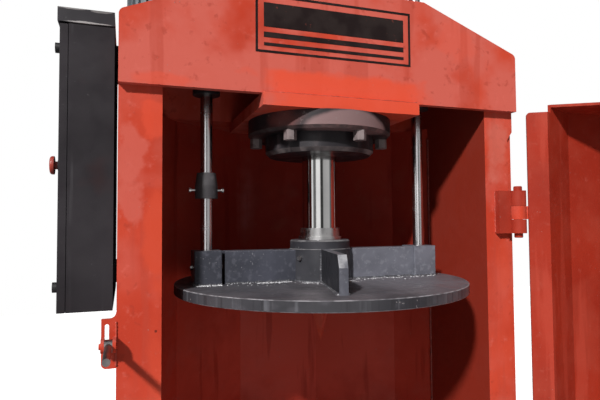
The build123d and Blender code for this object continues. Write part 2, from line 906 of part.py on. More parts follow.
# Swing bolt: an eye that turns on the latch pin, and a shank with a cross hole near its end
with BuildPart() as swing_bolt:
    with BuildSketch(Plane.YZ.offset(bolt_x - eye_width / 2)):
        with Locations((latch_y, fork_z)):
            Circle(eye_radius)
    extrude(amount=eye_width)
    with BuildSketch(Plane.XZ.offset(-latch_y)):
        with Locations((bolt_x, fork_z)):
            Circle(bolt_shank_radius)
    extrude(amount=swing_bolt_length)
    with BuildSketch(Plane.YZ.offset(bolt_x - eye_width / 2)):
        with Locations((latch_y, fork_z)):
            Circle(latch_pin_radius + running_clearance)
        with Locations((latch_y - swing_bolt_length + cross_hole_inset, fork_z)):
            Circle(cross_hole_radius)
    extrude(amount=eye_width, mode=Mode.SUBTRACT)
save(swing_bolt, "swing_bolt")

# Control box: a sheet body open to the left, under a folded roof
box_back = -(frame_half + box_back_gap)
box_mouth = box_back - box_body_depth
box_low = platen_top - box_bottom_drop
box_high = platen_top + box_top_rise
box_rear = box_front + box_width
box_middle_y = (box_front + box_rear) / 2
box_hinge_x = box_mouth - box_hinge_outset
box_hinge_y = box_rear + box_hinge_radius
box_door_top = box_high - roof_skirt - door_roof_gap
box_hinge_levels = [box_low + box_hinge_inset, box_door_top - box_hinge_inset]
box_hinge_end = box_hinge_length / 2 + box_hinge_ear + box_hinge_ear_gap
ear_plate_right = box_mouth + 2 * box_hinge_radius
ear_plate_x = (box_hinge_x + ear_plate_right) / 2
with BuildPart() as control_box:
    with BuildSketch(Plane.XY.offset(box_low)):
        with Locations(((box_back + box_mouth) / 2, box_middle_y)):
            Rectangle(box_body_depth, box_width)
    extrude(amount=box_high - box_low)
    with BuildSketch(Plane.YZ.offset(box_back - box_wall)):
        with Locations((box_middle_y, (box_low + box_high) / 2)):
            Rectangle(box_width - 2 * box_wall, box_high - box_low - 2 * box_wall)
    extrude(amount=-box_body_depth, mode=Mode.SUBTRACT)
    for strip_z in (box_low + box_strip_inset, box_high - box_strip_inset):
        with BuildSketch(Plane.XY.offset(strip_z - box_strip_height / 2)):
            with Locations((box_back + box_back_gap / 2, 0)):
                Rectangle(box_back_gap, box_strip_length)
        extrude(amount=box_strip_height)
    for level in box_hinge_levels:
        with BuildSketch(Plane.XY.offset(level - box_hinge_end)):
            with Locations((box_hinge_x, box_hinge_y)):
                Circle(box_hinge_pin_radius)
        extrude(amount=2 * box_hinge_end)
        for ear_z in (level - box_hinge_end, level + box_hinge_end - box_hinge_ear):
            with BuildSketch(Plane.XY.offset(ear_z)):
                with Locations((box_hinge_x, box_hinge_y)):
                    Circle(box_hinge_radius)
                with Locations((ear_plate_x, box_rear + box_hinge_ear_plate / 2)):
                    Rectangle(ear_plate_right - box_hinge_x, box_hinge_ear_plate)
            extrude(amount=box_hinge_ear)
save(control_box, "control_box")

with BuildPart() as control_box_roof:
    roof_left = box_mouth - box_door_thickness - 2 * box_door_gap
    with BuildSketch(Plane.XY.offset(box_high - roof_skirt)):
        with Locations(((box_back + roof_left) / 2 - roof_wall / 2, box_middle_y)):
            Rectangle(box_back - roof_left + roof_wall, box_width + 2 * roof_wall)
    extrude(amount=roof_skirt + roof_wall)
    with BuildSketch(Plane.XY.offset(box_high - roof_skirt)):
        with Locations(((box_back + roof_left) / 2, box_middle_y)):
            Rectangle(box_back - roof_left, box_width)
    extrude(amount=roof_skirt, mode=Mode.SUBTRACT)
save(control_box_roof, "control_box_roof")

# Control box door: a folded pan on two hinges at its rear edge
door_inner = box_mouth - box_door_gap
door_outer = door_inner - box_door_thickness
estop_z = (box_low + box_door_top) / 2 + estop_above_middle
lock_levels = [box_low + lock_low_inset, box_door_top - lock_high_inset]
control_y = box_front + control_inset
with BuildPart() as box_door:
    with BuildSketch(Plane.YZ.offset(door_outer)):
        with Locations((box_middle_y, (box_low + box_door_top) / 2)):
            Rectangle(box_width, box_door_top - box_low)
    extrude(amount=box_door_thickness)
    with BuildSketch(Plane.YZ.offset(door_outer + box_wall)):
        with Locations((box_middle_y, (box_low + box_door_top) / 2)):
            Rectangle(box_width - 2 * box_wall, box_door_top - box_low - 2 * box_wall)
    extrude(amount=box_door_thickness, mode=Mode.SUBTRACT)
    with BuildSketch(Plane.YZ.offset(door_outer)):
        with Locations((control_y, estop_z)):
            Circle(estop_neck_radius + seat_clearance)
        with Locations(*[(control_y, level) for level in lock_levels]):
            Circle(lock_shank_radius + running_clearance)
    extrude(amount=box_wall, mode=Mode.SUBTRACT)
    for level in box_hinge_levels:
        with BuildSketch(Plane.XY.offset(level - box_hinge_length / 2)):
            with Locations((box_hinge_x, box_hinge_y)):
                Circle(box_hinge_radius)
            with Locations((box_hinge_x, box_rear)):
                Rectangle(box_hinge_radius, 2 * box_hinge_radius)
        extrude(amount=box_hinge_length)
        with BuildSketch(Plane.XY.offset(level - box_hinge_length / 2)):
            with Locations((box_hinge_x, box_hinge_y)):
                Circle(box_hinge_pin_radius + running_clearance)
        extrude(amount=box_hinge_length, mode=Mode.SUBTRACT)
save(box_door, "box_door")


# Door locks: round knobs that turn a flat cam behind the door
def door_lock(level):
    """One knob with its shank and cam."""
    with BuildPart() as lock:
        with BuildSketch(Plane.YZ.offset(door_outer)):
            with Locations((control_y, level)):
                Circle(lock_radius)
        extrude(amount=-lock_reach)
        with BuildSketch(Plane.YZ.offset(door_outer)):
            with Locations((control_y, level)):
                Circle(lock_shank_radius)
        extrude(amount=box_wall + lock_cam_gap)
        with BuildSketch(Plane.YZ.offset(door_outer + box_wall + lock_cam_gap)):
            with Locations((control_y, level + lock_cam_shift)):
                SlotOverall(lock_cam_length, lock_cam_width, rotation=90)
        extrude(amount=lock_cam_thickness)
    return lock


save(door_lock(lock_levels[1]), "box_lock_upper")
save(door_lock(lock_levels[0]), "box_lock_lower")

# Emergency stop: a collar on the door and a mushroom button that slides in it
estop_stem_radius = estop_neck_radius - estop_neck_wall
estop_head_base = door_outer - estop_stand
with BuildPart() as estop_collar:
    with BuildSketch(Plane.YZ.offset(door_outer - estop_neck_reach)):
        with Locations((control_y, estop_z)):
            Circle(estop_neck_radius)
            Circle(estop_stem_radius, mode=Mode.SUBTRACT)
    extrude(amount=estop_neck_reach + box_wall + estop_neck_tail)
save(estop_collar, "estop_collar")

with BuildPart() as estop_button:
    with BuildSketch(Plane.YZ.offset(estop_head_base)):
        with Locations((control_y, estop_z)):
            Circle(estop_radius)
    extrude(amount=-estop_head_height)
    fillet(estop_button.edges().group_by(Axis.X)[0], radius=estop_head_fillet)
    with BuildSketch(Plane.YZ.offset(estop_head_base)):
        with Locations((control_y, estop_z)):
            Circle(estop_stem_radius - running_clearance)
    extrude(amount=estop_stem_length)
save(estop_button, "estop_button")

# Inside the control box: a mounting panel with its row of terminals, and switching gear on it
panel_face = box_back - box_wall - panel_stand
panel_middle_z = (box_low + box_high) / 2
stud_span_y = box_width - panel_margin - 2 * panel_stud_inset
stud_span_z = box_high - box_low - panel_height_margin - 2 * panel_stud_inset
with BuildPart() as mounting_panel:
    with BuildSketch(Plane.YZ.offset(panel_face)):
        with Locations((box_middle_y, panel_middle_z)):
            Rectangle(box_width - panel_margin, box_high - box_low - panel_height_margin)
    extrude(amount=panel_thickness)
    with BuildSketch(Plane.YZ.offset(panel_face + panel_thickness)):
        with Locations((box_middle_y, panel_middle_z)):
            with GridLocations(stud_span_y, stud_span_z, 2, 2):
                Circle(panel_stud_radius)
    extrude(amount=panel_stand - panel_thickness)
    with BuildSketch(Plane.YZ.offset(panel_face)):
        with Locations((box_middle_y, box_low + rail_rise)):
            Rectangle(rail_length, rail_height)
    extrude(amount=-rail_depth)
    with BuildSketch(Plane.YZ.offset(panel_face - rail_depth)):
        with Locations((box_middle_y, box_low + rail_rise)):
            with GridLocations(terminal_pitch, 0, terminal_count, 1):
                Rectangle(terminal_width, terminal_height)
    extrude(amount=-terminal_depth)
save(mounting_panel, "mounting_panel")

with BuildPart() as switch_gear:
    with BuildSketch(Plane.YZ.offset(panel_face)):
        with Locations((box_middle_y, box_low + gear_rise)):
            with GridLocations(gear_pitch, 0, gear_count, 1):
                Rectangle(gear_width, gear_height)
    extrude(amount=-gear_depth)
save(switch_gear, "switch_gear")

# Power pack: a shelf behind the beam, an oil tank on it, and a motor over the pump's bell
pack_shelf_top = beam_bottom + pack_shelf_thickness
with BuildPart() as pack_shelf:
    with BuildSketch(Plane.XY.offset(beam_bottom)):
        with Locations((0, rear_plate_face + pack_shelf_depth / 2)):
            Rectangle(2 * frame_half, pack_shelf_depth)
    extrude(amount=pack_shelf_thickness)
save(pack_shelf, "pack_shelf")

tank_front = rear_plate_face + tank_gap
tank_middle_x = tank_left + tank_width / 2
tank_corner_inside = tank_corner_radius - tank_wall
tank_middle_y = tank_front + tank_depth / 2
tank_top = pack_shelf_top + tank_height
with BuildPart() as oil_tank:
    with BuildSketch(Plane.XY.offset(pack_shelf_top)):
        with Locations((tank_middle_x, tank_middle_y)):
            RectangleRounded(tank_width, tank_depth, tank_corner_radius)
    extrude(amount=tank_height - lid_thickness)
    with BuildSketch(Plane.XY.offset(pack_shelf_top + tank_wall)):
        with Locations((tank_middle_x, tank_middle_y)):
            RectangleRounded(tank_width - 2 * tank_wall, tank_depth - 2 * tank_wall, tank_corner_inside)
    extrude(amount=tank_height, mode=Mode.SUBTRACT)
save(oil_tank, "oil_tank")

filler_x = tank_left + tank_width - filler_inset
lid_width = tank_width + 2 * lid_overhang
lid_depth = tank_depth + 2 * lid_overhang
lid_corner_radius = tank_corner_radius + lid_overhang
with BuildPart() as tank_lid:
    with BuildSketch(Plane.XY.offset(tank_top - lid_thickness)):
        with Locations((tank_middle_x, tank_middle_y)):
            RectangleRounded(lid_width, lid_depth, lid_corner_radius)
    extrude(amount=lid_thickness)
    with BuildSketch(Plane.XY.offset(tank_top)):
        with Locations((filler_x, tank_middle_y + filler_shift)):
            Circle(filler_radius)
    extrude(amount=filler_height)
save(tank_lid, "tank_lid")

motor_bottom = tank_top + bell_height
motor_top = motor_bottom + motor_height
with BuildPart() as motor:
    with BuildSketch(Plane.XY.offset(tank_top)):
        with Locations((motor_x, tank_middle_y)):
            Circle(bell_radius)
    extrude(amount=bell_height)
    with BuildSketch(Plane.XY.offset(motor_bottom)):
        with Locations((motor_x, tank_middle_y)):
            Circle(motor_radius)
    extrude(amount=motor_foot_height)
    with BuildSketch(Plane.XY.offset(motor_bottom + motor_foot_height)):
        with Locations((motor_x, tank_middle_y)):
            Circle(motor_radius - fin_depth)
            with PolarLocations(motor_radius - fin_depth, fin_count):
                Rectangle(2 * fin_depth, fin_width)
    extrude(amount=motor_height - motor_foot_height)
    with BuildSketch(Plane.XY.offset(motor_bottom + terminal_box_rise)):
        with Locations((motor_x + motor_radius + terminal_box_width / 4, tank_middle_y)):
            Rectangle(terminal_box_width, terminal_box_height)
    extrude(amount=terminal_box_height)
save(motor, "motor")

with BuildPart() as motor_fan_cover:
    with BuildSketch(Plane.XY.offset(motor_top)):
        with Locations((motor_x, tank_middle_y)):
            Circle(motor_radius)
    extrude(amount=fan_cover_height)
    fillet(motor_fan_cover.edges().group_by(Axis.Z)[-1], radius=fan_cover_fillet)
save(motor_fan_cover, "motor_fan_cover")

# Valve block on the tank and the two steel pipes to the cylinder's ports
valve_top = tank_top + valve_height
with BuildPart() as valve_block:
    with BuildSketch(Plane.XY.offset(tank_top)):
        with Locations((valve_x, tank_middle_y)):
            Rectangle(valve_width, valve_depth)
    extrude(amount=valve_height)
    with BuildSketch(Plane.XZ.offset(-tank_middle_y - valve_depth / 2)):
        with Locations((valve_x, tank_top + valve_height / 2)):
            Circle(solenoid_radius)
    extrude(amount=-solenoid_length)
save(valve_block, "valve_block")


def steel_pipe(points):
    """One bent pipe along a chain of straight runs with rounded corners."""
    direction = Vector(*points[1]) - Vector(*points[0])
    with BuildPart() as pipe:
        with BuildLine():
            FilletPolyline(*points, radius=pipe_bend)
        with BuildSketch(Plane(origin=points[0], z_dir=direction)):
            Circle(pipe_radius)
        sweep()
    return pipe


pipe_over_z = beam_top + pipe_over_rise
lower_pipe_y = port_reach + pipe_bend + pipe_end_run
press_route = [(0, tank_middle_y, valve_top), (0, tank_middle_y, upper_port_z), (0, port_reach, upper_port_z)]
return_route = [
    (lower_port_x, tank_middle_y, valve_top),
    (lower_port_x, tank_middle_y, pipe_over_z),
    (lower_port_x, lower_pipe_y, pipe_over_z),
    (lower_port_x, lower_pipe_y, lower_port_z),
    (lower_port_x, port_reach, lower_port_z),
]
save(steel_pipe(press_route), "pipe_press")
save(steel_pipe(return_route), "pipe_return")
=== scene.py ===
import json
import math
import random

import bpy
from mathutils import Matrix, Vector, noise


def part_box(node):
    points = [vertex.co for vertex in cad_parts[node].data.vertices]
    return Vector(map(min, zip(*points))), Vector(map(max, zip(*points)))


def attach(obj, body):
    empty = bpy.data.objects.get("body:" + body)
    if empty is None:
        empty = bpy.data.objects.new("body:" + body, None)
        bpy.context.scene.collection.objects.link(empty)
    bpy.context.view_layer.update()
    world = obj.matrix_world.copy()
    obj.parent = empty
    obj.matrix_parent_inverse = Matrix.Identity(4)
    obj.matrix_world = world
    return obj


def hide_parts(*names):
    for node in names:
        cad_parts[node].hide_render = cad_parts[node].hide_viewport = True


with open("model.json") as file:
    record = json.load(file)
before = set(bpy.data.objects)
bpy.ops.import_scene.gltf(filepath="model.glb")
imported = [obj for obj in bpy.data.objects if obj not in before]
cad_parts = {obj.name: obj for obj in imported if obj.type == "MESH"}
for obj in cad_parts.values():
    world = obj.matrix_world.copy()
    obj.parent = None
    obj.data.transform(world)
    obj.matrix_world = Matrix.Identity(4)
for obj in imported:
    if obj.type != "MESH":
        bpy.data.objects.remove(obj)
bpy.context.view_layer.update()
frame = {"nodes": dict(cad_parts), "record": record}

MM = 0.001
SEED = 7
WHITE = (1, 1, 1, 1)
scene = bpy.context.scene
rng = random.Random(SEED)


def spans(node):
    """The x, y and z spans of a CAD node at rest, in mm."""
    low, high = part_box(node)
    return [(round(a / MM, 1), round(b / MM, 1)) for a, b in zip(low, high)]


BEAM_FRONT = spans("beam_front_plate")[1][0]
BEAM_LOW = spans("beam_front_plate")[2][0]
COLUMN_X, COLUMN_Y, COLUMN_Z = spans("column_right")
COLUMN_FRONT = COLUMN_Y[0]
CHAMBER_X, CHAMBER_Y = spans("chamber_shell")[:2]
SHELF_TOP = spans("guide_shelf")[2][1]
PLATEN_TOP = spans("platen")[2][1]
HUB_RADIUS = spans("hub")[0][1]
BAR_Y = spans("crossbar_left")[1][1]
BLOCK_Y = spans("clamp_block_right")[1][1]
BLOCK_IN, BLOCK_OUT = spans("clamp_block_right")[0]
BAR_START = HUB_RADIUS - 1
BAR_LEFT = (spans("crossbar_left")[0][0], -BAR_START)
BAR_RIGHT = (BAR_START, spans("crossbar_right")[0][1])


# Materials
class Finish:
    """A procedural material built up in layers from noise in the part's own coordinates.

    A scale is in noise cells per metre. A layer comes in where the noise goes from low to high,
    and amount is the share of its colour at most. Colours are linear red, green and blue.
    """

    LEAST_ROUGH = 0.03
    ROUGH_SCALE = 30.0
    BUMP_STRENGTH = 0.35

    def __init__(self, name, rough=0.5, metal=0.0, bump=0.0006, grain=180.0, specular=0.5):
        self.mat = bpy.data.materials.new(name)
        self.mat.use_nodes = True
        self.nodes = self.mat.node_tree.nodes
        self.links = self.mat.node_tree.links
        self.shader = self.nodes["Principled BSDF"]
        self.shader.inputs["Metallic"].default_value = metal
        self.shader.inputs["Specular IOR Level"].default_value = specular
        self.point = self.nodes.new("ShaderNodeTexCoord").outputs["Object"]
        self.color = None
        self.rough = rough
        self.bump = bump
        self.grain = grain

    def node(self, kind, **settings):
        made = self.nodes.new(kind)
        for key, value in settings.items():
            setattr(made, key, value)
        return made

    def put(self, socket, value):
        """Link a socket to another, or set it to a plain value."""
        if hasattr(value, "links"):
            self.links.new(value, socket)
        else:
            socket.default_value = value

    def vec(self, op, a, b=None):
        n = self.node("ShaderNodeVectorMath", operation=op)
        self.put(n.inputs[0], a)
        if b is not None:
            self.put(n.inputs[1], b)
        return n.outputs["Value"] if op == "LENGTH" else n.outputs["Vector"]

    def num(self, op, a, b=None):
        n = self.node("ShaderNodeMath", operation=op)
        self.put(n.inputs[0], a)
        if b is not None:
            self.put(n.inputs[1], b)
        return n.outputs[0]

    def split(self, vector):
        """The x, y and z of a vector."""
        n = self.node("ShaderNodeSeparateXYZ")
        self.put(n.inputs[0], vector)
        return n.outputs

    def noise(self, scale, detail=4.0, stretch=None, shift=None):
        p = self.point
        if shift:
            p = self.vec("ADD", p, shift)
        if stretch:
            p = self.vec("MULTIPLY", p, stretch)
        n = self.node("ShaderNodeTexNoise")
        self.put(n.inputs["Vector"], p)
        n.inputs["Scale"].default_value = scale
        n.inputs["Detail"].default_value = detail
        return n.outputs[0]

    def between(self, value, low, high, to_low=0.0, to_high=1.0, smooth=True):
        """The value taken from the range low to high into another range, and held at its ends."""
        n = self.node("ShaderNodeMapRange", interpolation_type="SMOOTHSTEP" if smooth else "LINEAR")
        self.put(n.inputs[0], value)
        for i, v in enumerate((low, high, to_low, to_high)):
            n.inputs[i + 1].default_value = v
        return n.outputs[0]

    def mix(self, factor, a, b):
        n = self.node("ShaderNodeMix", data_type="RGBA")
        self.put(n.inputs[0], factor)
        self.put(n.inputs[6], a if hasattr(a, "links") else (*a, 1.0))
        self.put(n.inputs[7], b if hasattr(b, "links") else (*b, 1.0))
        return n.outputs[2]

    def layer(self, mask, color):
        self.color = self.mix(mask, self.color, color)

    def base(self, a, b, scale):
        """Two colours in soft clouds."""
        self.color = self.mix(self.between(self.noise(scale), 0.35, 0.65), a, b)

    def speckle(self, color, scale, low, high, amount=1.0, stretch=None, within=None):
        """Spots or streaks where the noise is high, within=(scale, low, high) only in some areas."""
        mask = self.between(self.noise(scale, detail=3.0, stretch=stretch), low, high, 0.0, amount)
        if within:
            area_scale, area_low, area_high = within
            area = self.between(self.noise(area_scale), area_low, area_high)
            mask = self.num("MULTIPLY", mask, area)
        self.layer(mask, color)

    def dust(self, color, amount):
        """Dust that lies in clouds on faces that look up."""
        up = self.split(self.node("ShaderNodeNewGeometry").outputs["Normal"])[2]
        lies = self.between(up, 0.5, 0.95, 0.0, amount)
        clouds = self.between(self.noise(14.0), 0.35, 0.7, 0.35, 1.0)
        self.layer(self.num("MULTIPLY", lies, clouds), color)

    def tilt(self):
        """How far a face looks up or down: 1 when level, 0 on a side."""
        normal = self.node("ShaderNodeNewGeometry").outputs["True Normal"]
        return self.num("ABSOLUTE", self.split(normal)[2])

    def chamfer_wear_and_highlight(self, color, amount=0.9, scale=60.0):
        """Paler colour on the narrow sloped edges: bare metal where the paint wears off, and a painted
        highlight where the edges catch the light.
        """
        t = self.tilt()
        sloped = self.num("MULTIPLY", self.between(t, 0.3, 0.5), self.between(t, 0.8, 0.95, 1.0, 0.0))
        wear = self.between(self.noise(scale), 0.35, 0.6, 0.15, amount)
        self.layer(self.num("MULTIPLY", sloped, wear), color)

    def painted_side_shade(self, color, amount):
        """Painted shade: another colour on the faces that look to the left or right."""
        sideways = self.split(self.node("ShaderNodeTexCoord").outputs["Normal"])[0]
        self.layer(self.between(self.num("ABSOLUTE", sideways), 0.6, 0.85, 0.0, amount), color)

    def upright_streaks(self, color, scale, low, high, amount):
        """Upright marks on side faces only, as a torch cut leaves them."""
        side = self.between(self.tilt(), 0.1, 0.3, 1.0, 0.0)
        streaks = self.noise(scale, detail=2.0, stretch=(1.0, 1.0, 0.02))
        mask = self.between(streaks, low, high, 0.0, amount)
        self.layer(self.num("MULTIPLY", side, mask), color)

    def patch(self, color, centre, half, amount=1.0, wobble=0.25, soft=0.35, square=False):
        """A patch of another colour at a place on the part, its centre and half size in mm.

        wobble is how wavy its edge is and soft how gradual, both as shares of its half size.
        """
        p = self.vec("SUBTRACT", self.point, [c * MM for c in centre])
        p = self.vec("DIVIDE", p, [h * MM for h in half])
        if square:
            x, y, z = self.split(self.vec("ABSOLUTE", p))
            far = self.num("MAXIMUM", self.num("MAXIMUM", x, z), y)
        else:
            far = self.vec("LENGTH", p)
        waves = self.noise(22.0, detail=5.0, shift=(centre[0] * 0.01, 0.3, 0.7))
        far = self.num("ADD", far, self.between(waves, 0.3, 0.7, -wobble, wobble, smooth=False))
        self.layer(self.between(far, 1.0 - soft, 1.0 + soft * 0.4, amount, 0.0), color)

    def done(self, vary=0.12):
        """Set the colour, a roughness that varies and a fine bump, and return the material."""
        self.put(self.shader.inputs["Base Color"], self.color)
        least = max(self.rough - vary, self.LEAST_ROUGH)
        most = min(self.rough + vary, 1.0)
        rough = self.between(self.noise(self.ROUGH_SCALE, detail=5.0), 0.3, 0.7, least, most)
        self.put(self.shader.inputs["Roughness"], rough)
        if self.bump:
            b = self.node("ShaderNodeBump")
            b.inputs["Strength"].default_value = self.BUMP_STRENGTH
            b.inputs["Distance"].default_value = self.bump
            self.put(b.inputs["Height"], self.noise(self.grain, detail=5.0))
            self.put(self.shader.inputs["Normal"], b.outputs[0])
        return self.mat


RED = (0.60, 0.066, 0.032)
RED_DEEP = (0.50, 0.046, 0.021)
RED_DUSTY = (0.62, 0.125, 0.092)
RED_FRESH = (0.76, 0.086, 0.040)
RED_SMOOTH = (0.62, 0.070, 0.032)
# Painted shade for faces that look left or right
RED_PAINTED_SIDE_SHADE = (0.21, 0.022, 0.012)
RED_PALE = (0.60, 0.16, 0.12)
RED_DOOR = (0.35, 0.028, 0.012)
RED_DOOR_DEEP = (0.29, 0.022, 0.010)
RED_DOOR_DUSTY = (0.37, 0.052, 0.030)
RED_HINGE = (0.44, 0.046, 0.024)
RED_HINGE_DEEP = (0.30, 0.028, 0.015)
RED_HINGE_DUSTY = (0.42, 0.075, 0.05)
HOLE_SHADE = (0.03, 0.012, 0.01)
DUST = (0.42, 0.36, 0.33)
DARK_DUST = (0.17, 0.158, 0.17)
BARE_CHIPS = (0.42, 0.42, 0.45)
CHIP_AREAS = (12.0, 0.45, 0.6)
DRAWN_UPRIGHT = (1.0, 1.0, 0.1)

BEAM_PATCHES = [
    (RED_FRESH, (10, BEAM_FRONT, 1512), (172, 60, 60), dict(square=True, amount=0.85, wobble=0.12, soft=0.2)),
    (RED_FRESH, (-20, BEAM_FRONT, 1560), (150, 20, 14), dict(amount=0.35, wobble=0.5)),
    (RED_FRESH, (262, BEAM_FRONT, 1672), (46, 20, 42), dict(amount=0.25, wobble=0.5)),
    (RED_FRESH, (-345, BEAM_FRONT, 1536), (46, 20, 14), dict(amount=0.45, wobble=0.4)),
    (RED_FRESH, (335, BEAM_FRONT, 1700), (60, 20, 20), dict(amount=0.2, wobble=0.5)),
]
COLUMN_PATCHES = [
    (RED_FRESH, (-352, COLUMN_FRONT, 1468), (30, 12, 34), dict(amount=0.5, wobble=0.45)),
    (RED_SMOOTH, (-354, COLUMN_FRONT, 1262), (22, 12, 90), dict(amount=0.9, wobble=0.3, soft=0.4)),
    (RED_SMOOTH, (-352, COLUMN_FRONT, 1030), (14, 12, 90), dict(amount=0.5, wobble=0.3, soft=0.6)),
    (RED_DUSTY, (-395, COLUMN_FRONT, 1380), (26, 12, 90), dict(amount=0.7, wobble=0.5)),
    (RED_SMOOTH, (385, COLUMN_FRONT, 1180), (20, 12, 60), dict(amount=0.4, wobble=0.3, soft=0.6)),
    (RED_PALE, (372, COLUMN_FRONT, 1440), (30, 12, 70), dict(amount=0.5, wobble=0.5)),
    (HOLE_SHADE, (-352, COLUMN_FRONT, 1097), (2.6, 12, 2.6), dict(amount=0.7, wobble=0.05)),
]


def red_finish(name, dusty, patches=(), plain=RED, deep=RED_DEEP, pale=RED_DUSTY, inner=0.0):
    """Red paint, dusty from 0 to 1. inner is how much painted shade darkens the faces that look left and
    right.
    """
    f = Finish(name, rough=0.5, bump=0.0005, grain=220.0, specular=0.16)
    f.base(plain, deep, scale=5.0)
    f.speckle(pale, 9.0, 0.5 - dusty * 0.22, 0.72 - dusty * 0.2, 0.35 + 0.6 * dusty)
    f.speckle([1.05 * c + 0.02 for c in pale], 70.0, 0.58, 0.78, 0.4)
    f.speckle((0.36, 0.04, 0.022), 60.0, 0.6, 0.74, 0.45)
    f.speckle((0.47, 0.06, 0.035), 26.0, 0.54, 0.62, 0.45, stretch=(1.0, 1.0, 0.08))
    for color, centre, half, looks in patches:
        f.patch(color, centre, half, **looks)
    f.speckle((0.30, 0.26, 0.24), 240.0, 0.70, 0.76, 0.7, within=(8.0, 0.5, 0.6))
    # Painted shade on the faces that look left and right
    if inner:
        f.painted_side_shade(RED_PAINTED_SIDE_SHADE, inner)
    f.dust(DUST, 0.30)
    return f.done()


def chamber_finish():
    """The chamber's darker red, with a painted highlight along a fold left of the rod and painted bounce
    light on the wall under the platen.
    """
    f = Finish("paint_chamber", rough=0.5, bump=0.0006, grain=160.0, specular=0.14)
    f.base((0.50, 0.052, 0.030), (0.40, 0.040, 0.024), scale=4.0)
    f.speckle((0.46, 0.072, 0.050), 16.0, 0.5, 0.7, 0.5)
    # Painted highlight: a pale strip along the fold left of the rod
    f.patch((0.70, 0.23, 0.21), (-88, 313, 1345), (30, 9, 130), amount=0.8, wobble=0.2, soft=0.8)
    # Painted bounce light: a brighter patch on the wall under the platen
    f.patch((0.62, 0.085, 0.055), (60, 300, 960), (330, 220, 190), amount=0.8, wobble=0.15, soft=0.5)
    f.speckle((0.30, 0.022, 0.012), 30.0, 0.58, 0.68, 0.5, stretch=DRAWN_UPRIGHT)
    f.speckle((0.44, 0.12, 0.09), 120.0, 0.66, 0.74, 0.4)
    f.dust(DUST, 0.3)
    return f.done()


def dark_finish():
    """The dark paint of the gussets and the bed plate, with painted shade on the faces that look left or
    right.
    """
    f = Finish("paint_dark", rough=0.46, bump=0.0007, grain=150.0, specular=0.22)
    f.base((0.100, 0.102, 0.124), (0.064, 0.065, 0.079), scale=9.0)
    f.speckle((0.15, 0.152, 0.18), 30.0, 0.54, 0.7, 0.5)
    f.speckle((0.04, 0.04, 0.046), 45.0, 0.6, 0.7, 0.5)
    f.speckle(BARE_CHIPS, 260.0, 0.66, 0.72, 0.5, within=CHIP_AREAS)
    f.dust(DARK_DUST, 0.4)
    f.chamfer_wear_and_highlight((0.34, 0.34, 0.36))
    # Painted shade on the faces that look left or right
    f.painted_side_shade((0.014, 0.014, 0.017), 0.85)
    return f.done()


def bar_finish(name, rough, specular, plain, deep, pale, chips):
    """The dark paint of a crossbar and its clamp block."""
    f = Finish(name, rough=rough, bump=0.0009, grain=120.0, specular=specular)
    f.base(plain, deep, scale=9.0)
    f.speckle(pale, 90.0, 0.52, 0.7, 0.6)
    f.speckle(chips, 260.0, 0.66, 0.72, 0.5, within=CHIP_AREAS)
    f.dust(DARK_DUST, 0.4)
    return f.done()


def platen_finish():
    """Dark plate, paler on the right and darker on the left, with torch marks round its rim."""
    f = Finish("paint_platen", rough=0.46, bump=0.0008, grain=130.0, specular=0.22)
    f.base((0.048, 0.047, 0.053), (0.034, 0.033, 0.039), scale=9.0)
    f.speckle((0.11, 0.105, 0.12), 26.0, 0.54, 0.7, 0.5)
    f.dust((0.19, 0.172, 0.19), 0.55)
    worn = dict(wobble=0.2, soft=0.8)
    f.patch((0.155, 0.145, 0.165), (170, -110, PLATEN_TOP), (170, 190, 60), amount=0.8, **worn)
    f.patch((0.075, 0.074, 0.084), (-190, -80, PLATEN_TOP), (120, 150, 60), amount=0.7, **worn)
    f.upright_streaks((0.030, 0.029, 0.033), 90.0, 0.52, 0.66, 0.75)
    f.upright_streaks((0.13, 0.13, 0.145), 70.0, 0.56, 0.70, 0.6)
    f.speckle((0.36, 0.33, 0.33), 160.0, 0.67, 0.71, 0.8, within=(9.0, 0.52, 0.6))
    f.chamfer_wear_and_highlight((0.30, 0.29, 0.31))
    return f.done()


def box_finish():
    """The control box, nearly black, with pale streaks."""
    f = Finish("paint_box", rough=0.5, bump=0.0003, grain=420.0, specular=0.14)
    f.base((0.034, 0.030, 0.034), (0.022, 0.019, 0.022), scale=6.0)
    streaks = dict(stretch=(1.0, 1.0, 0.05), within=(5.0, 0.45, 0.6))
    f.speckle((0.075, 0.072, 0.078), 34.0, 0.60, 0.66, 0.6, **streaks)
    f.speckle((0.10, 0.095, 0.10), 130.0, 0.68, 0.73, 0.6, within=(7.0, 0.5, 0.62))
    f.speckle((0.045, 0.022, 0.022), 8.0, 0.6, 0.75, 0.5)
    f.dust((0.16, 0.15, 0.15), 0.5)
    return f.done()


def roof_finish():
    """The control box's roof, with bare metal along its front edges."""
    f = Finish("box_roof", rough=0.5, bump=0.0003, grain=420.0, specular=0.16)
    f.base((0.046, 0.043, 0.048), (0.032, 0.030, 0.034), scale=6.0)
    f.patch((0.42, 0.40, 0.40), (-460, -113, 1629), (42, 8, 1.6), amount=0.9, wobble=0.7)
    f.patch((0.30, 0.28, 0.28), (-486, -113, 1652), (22, 10, 2.0), amount=0.8, wobble=0.7)
    f.patch((0.22, 0.21, 0.21), (-440, -113, 1651), (16, 10, 2.0), amount=0.8, wobble=0.7)
    f.speckle((0.12, 0.115, 0.12), 120.0, 0.66, 0.72, 0.6, within=(7.0, 0.5, 0.62))
    f.dust((0.17, 0.16, 0.16), 0.5)
    return f.done()


def chrome_finish(name, rough, plain, deep, marks, amount, vary):
    """Polished rod, with faint marks along it."""
    f = Finish(name, rough=rough, metal=1.0, bump=0.0)
    f.base(plain, deep, scale=8.0)
    f.speckle(marks, 45.0, 0.62, 0.75, amount, stretch=DRAWN_UPRIGHT)
    return f.done(vary=vary)


def bare_steel(name, rough, plain, deep, scale, marks, marks_scale, amount, vary):
    """Bare or plated steel, with duller marks."""
    f = Finish(name, rough=rough, metal=1.0, bump=0.0002, grain=300.0)
    f.base(plain, deep, scale=scale)
    f.speckle(marks, marks_scale, 0.6, 0.75, amount)
    return f.done(vary=vary)


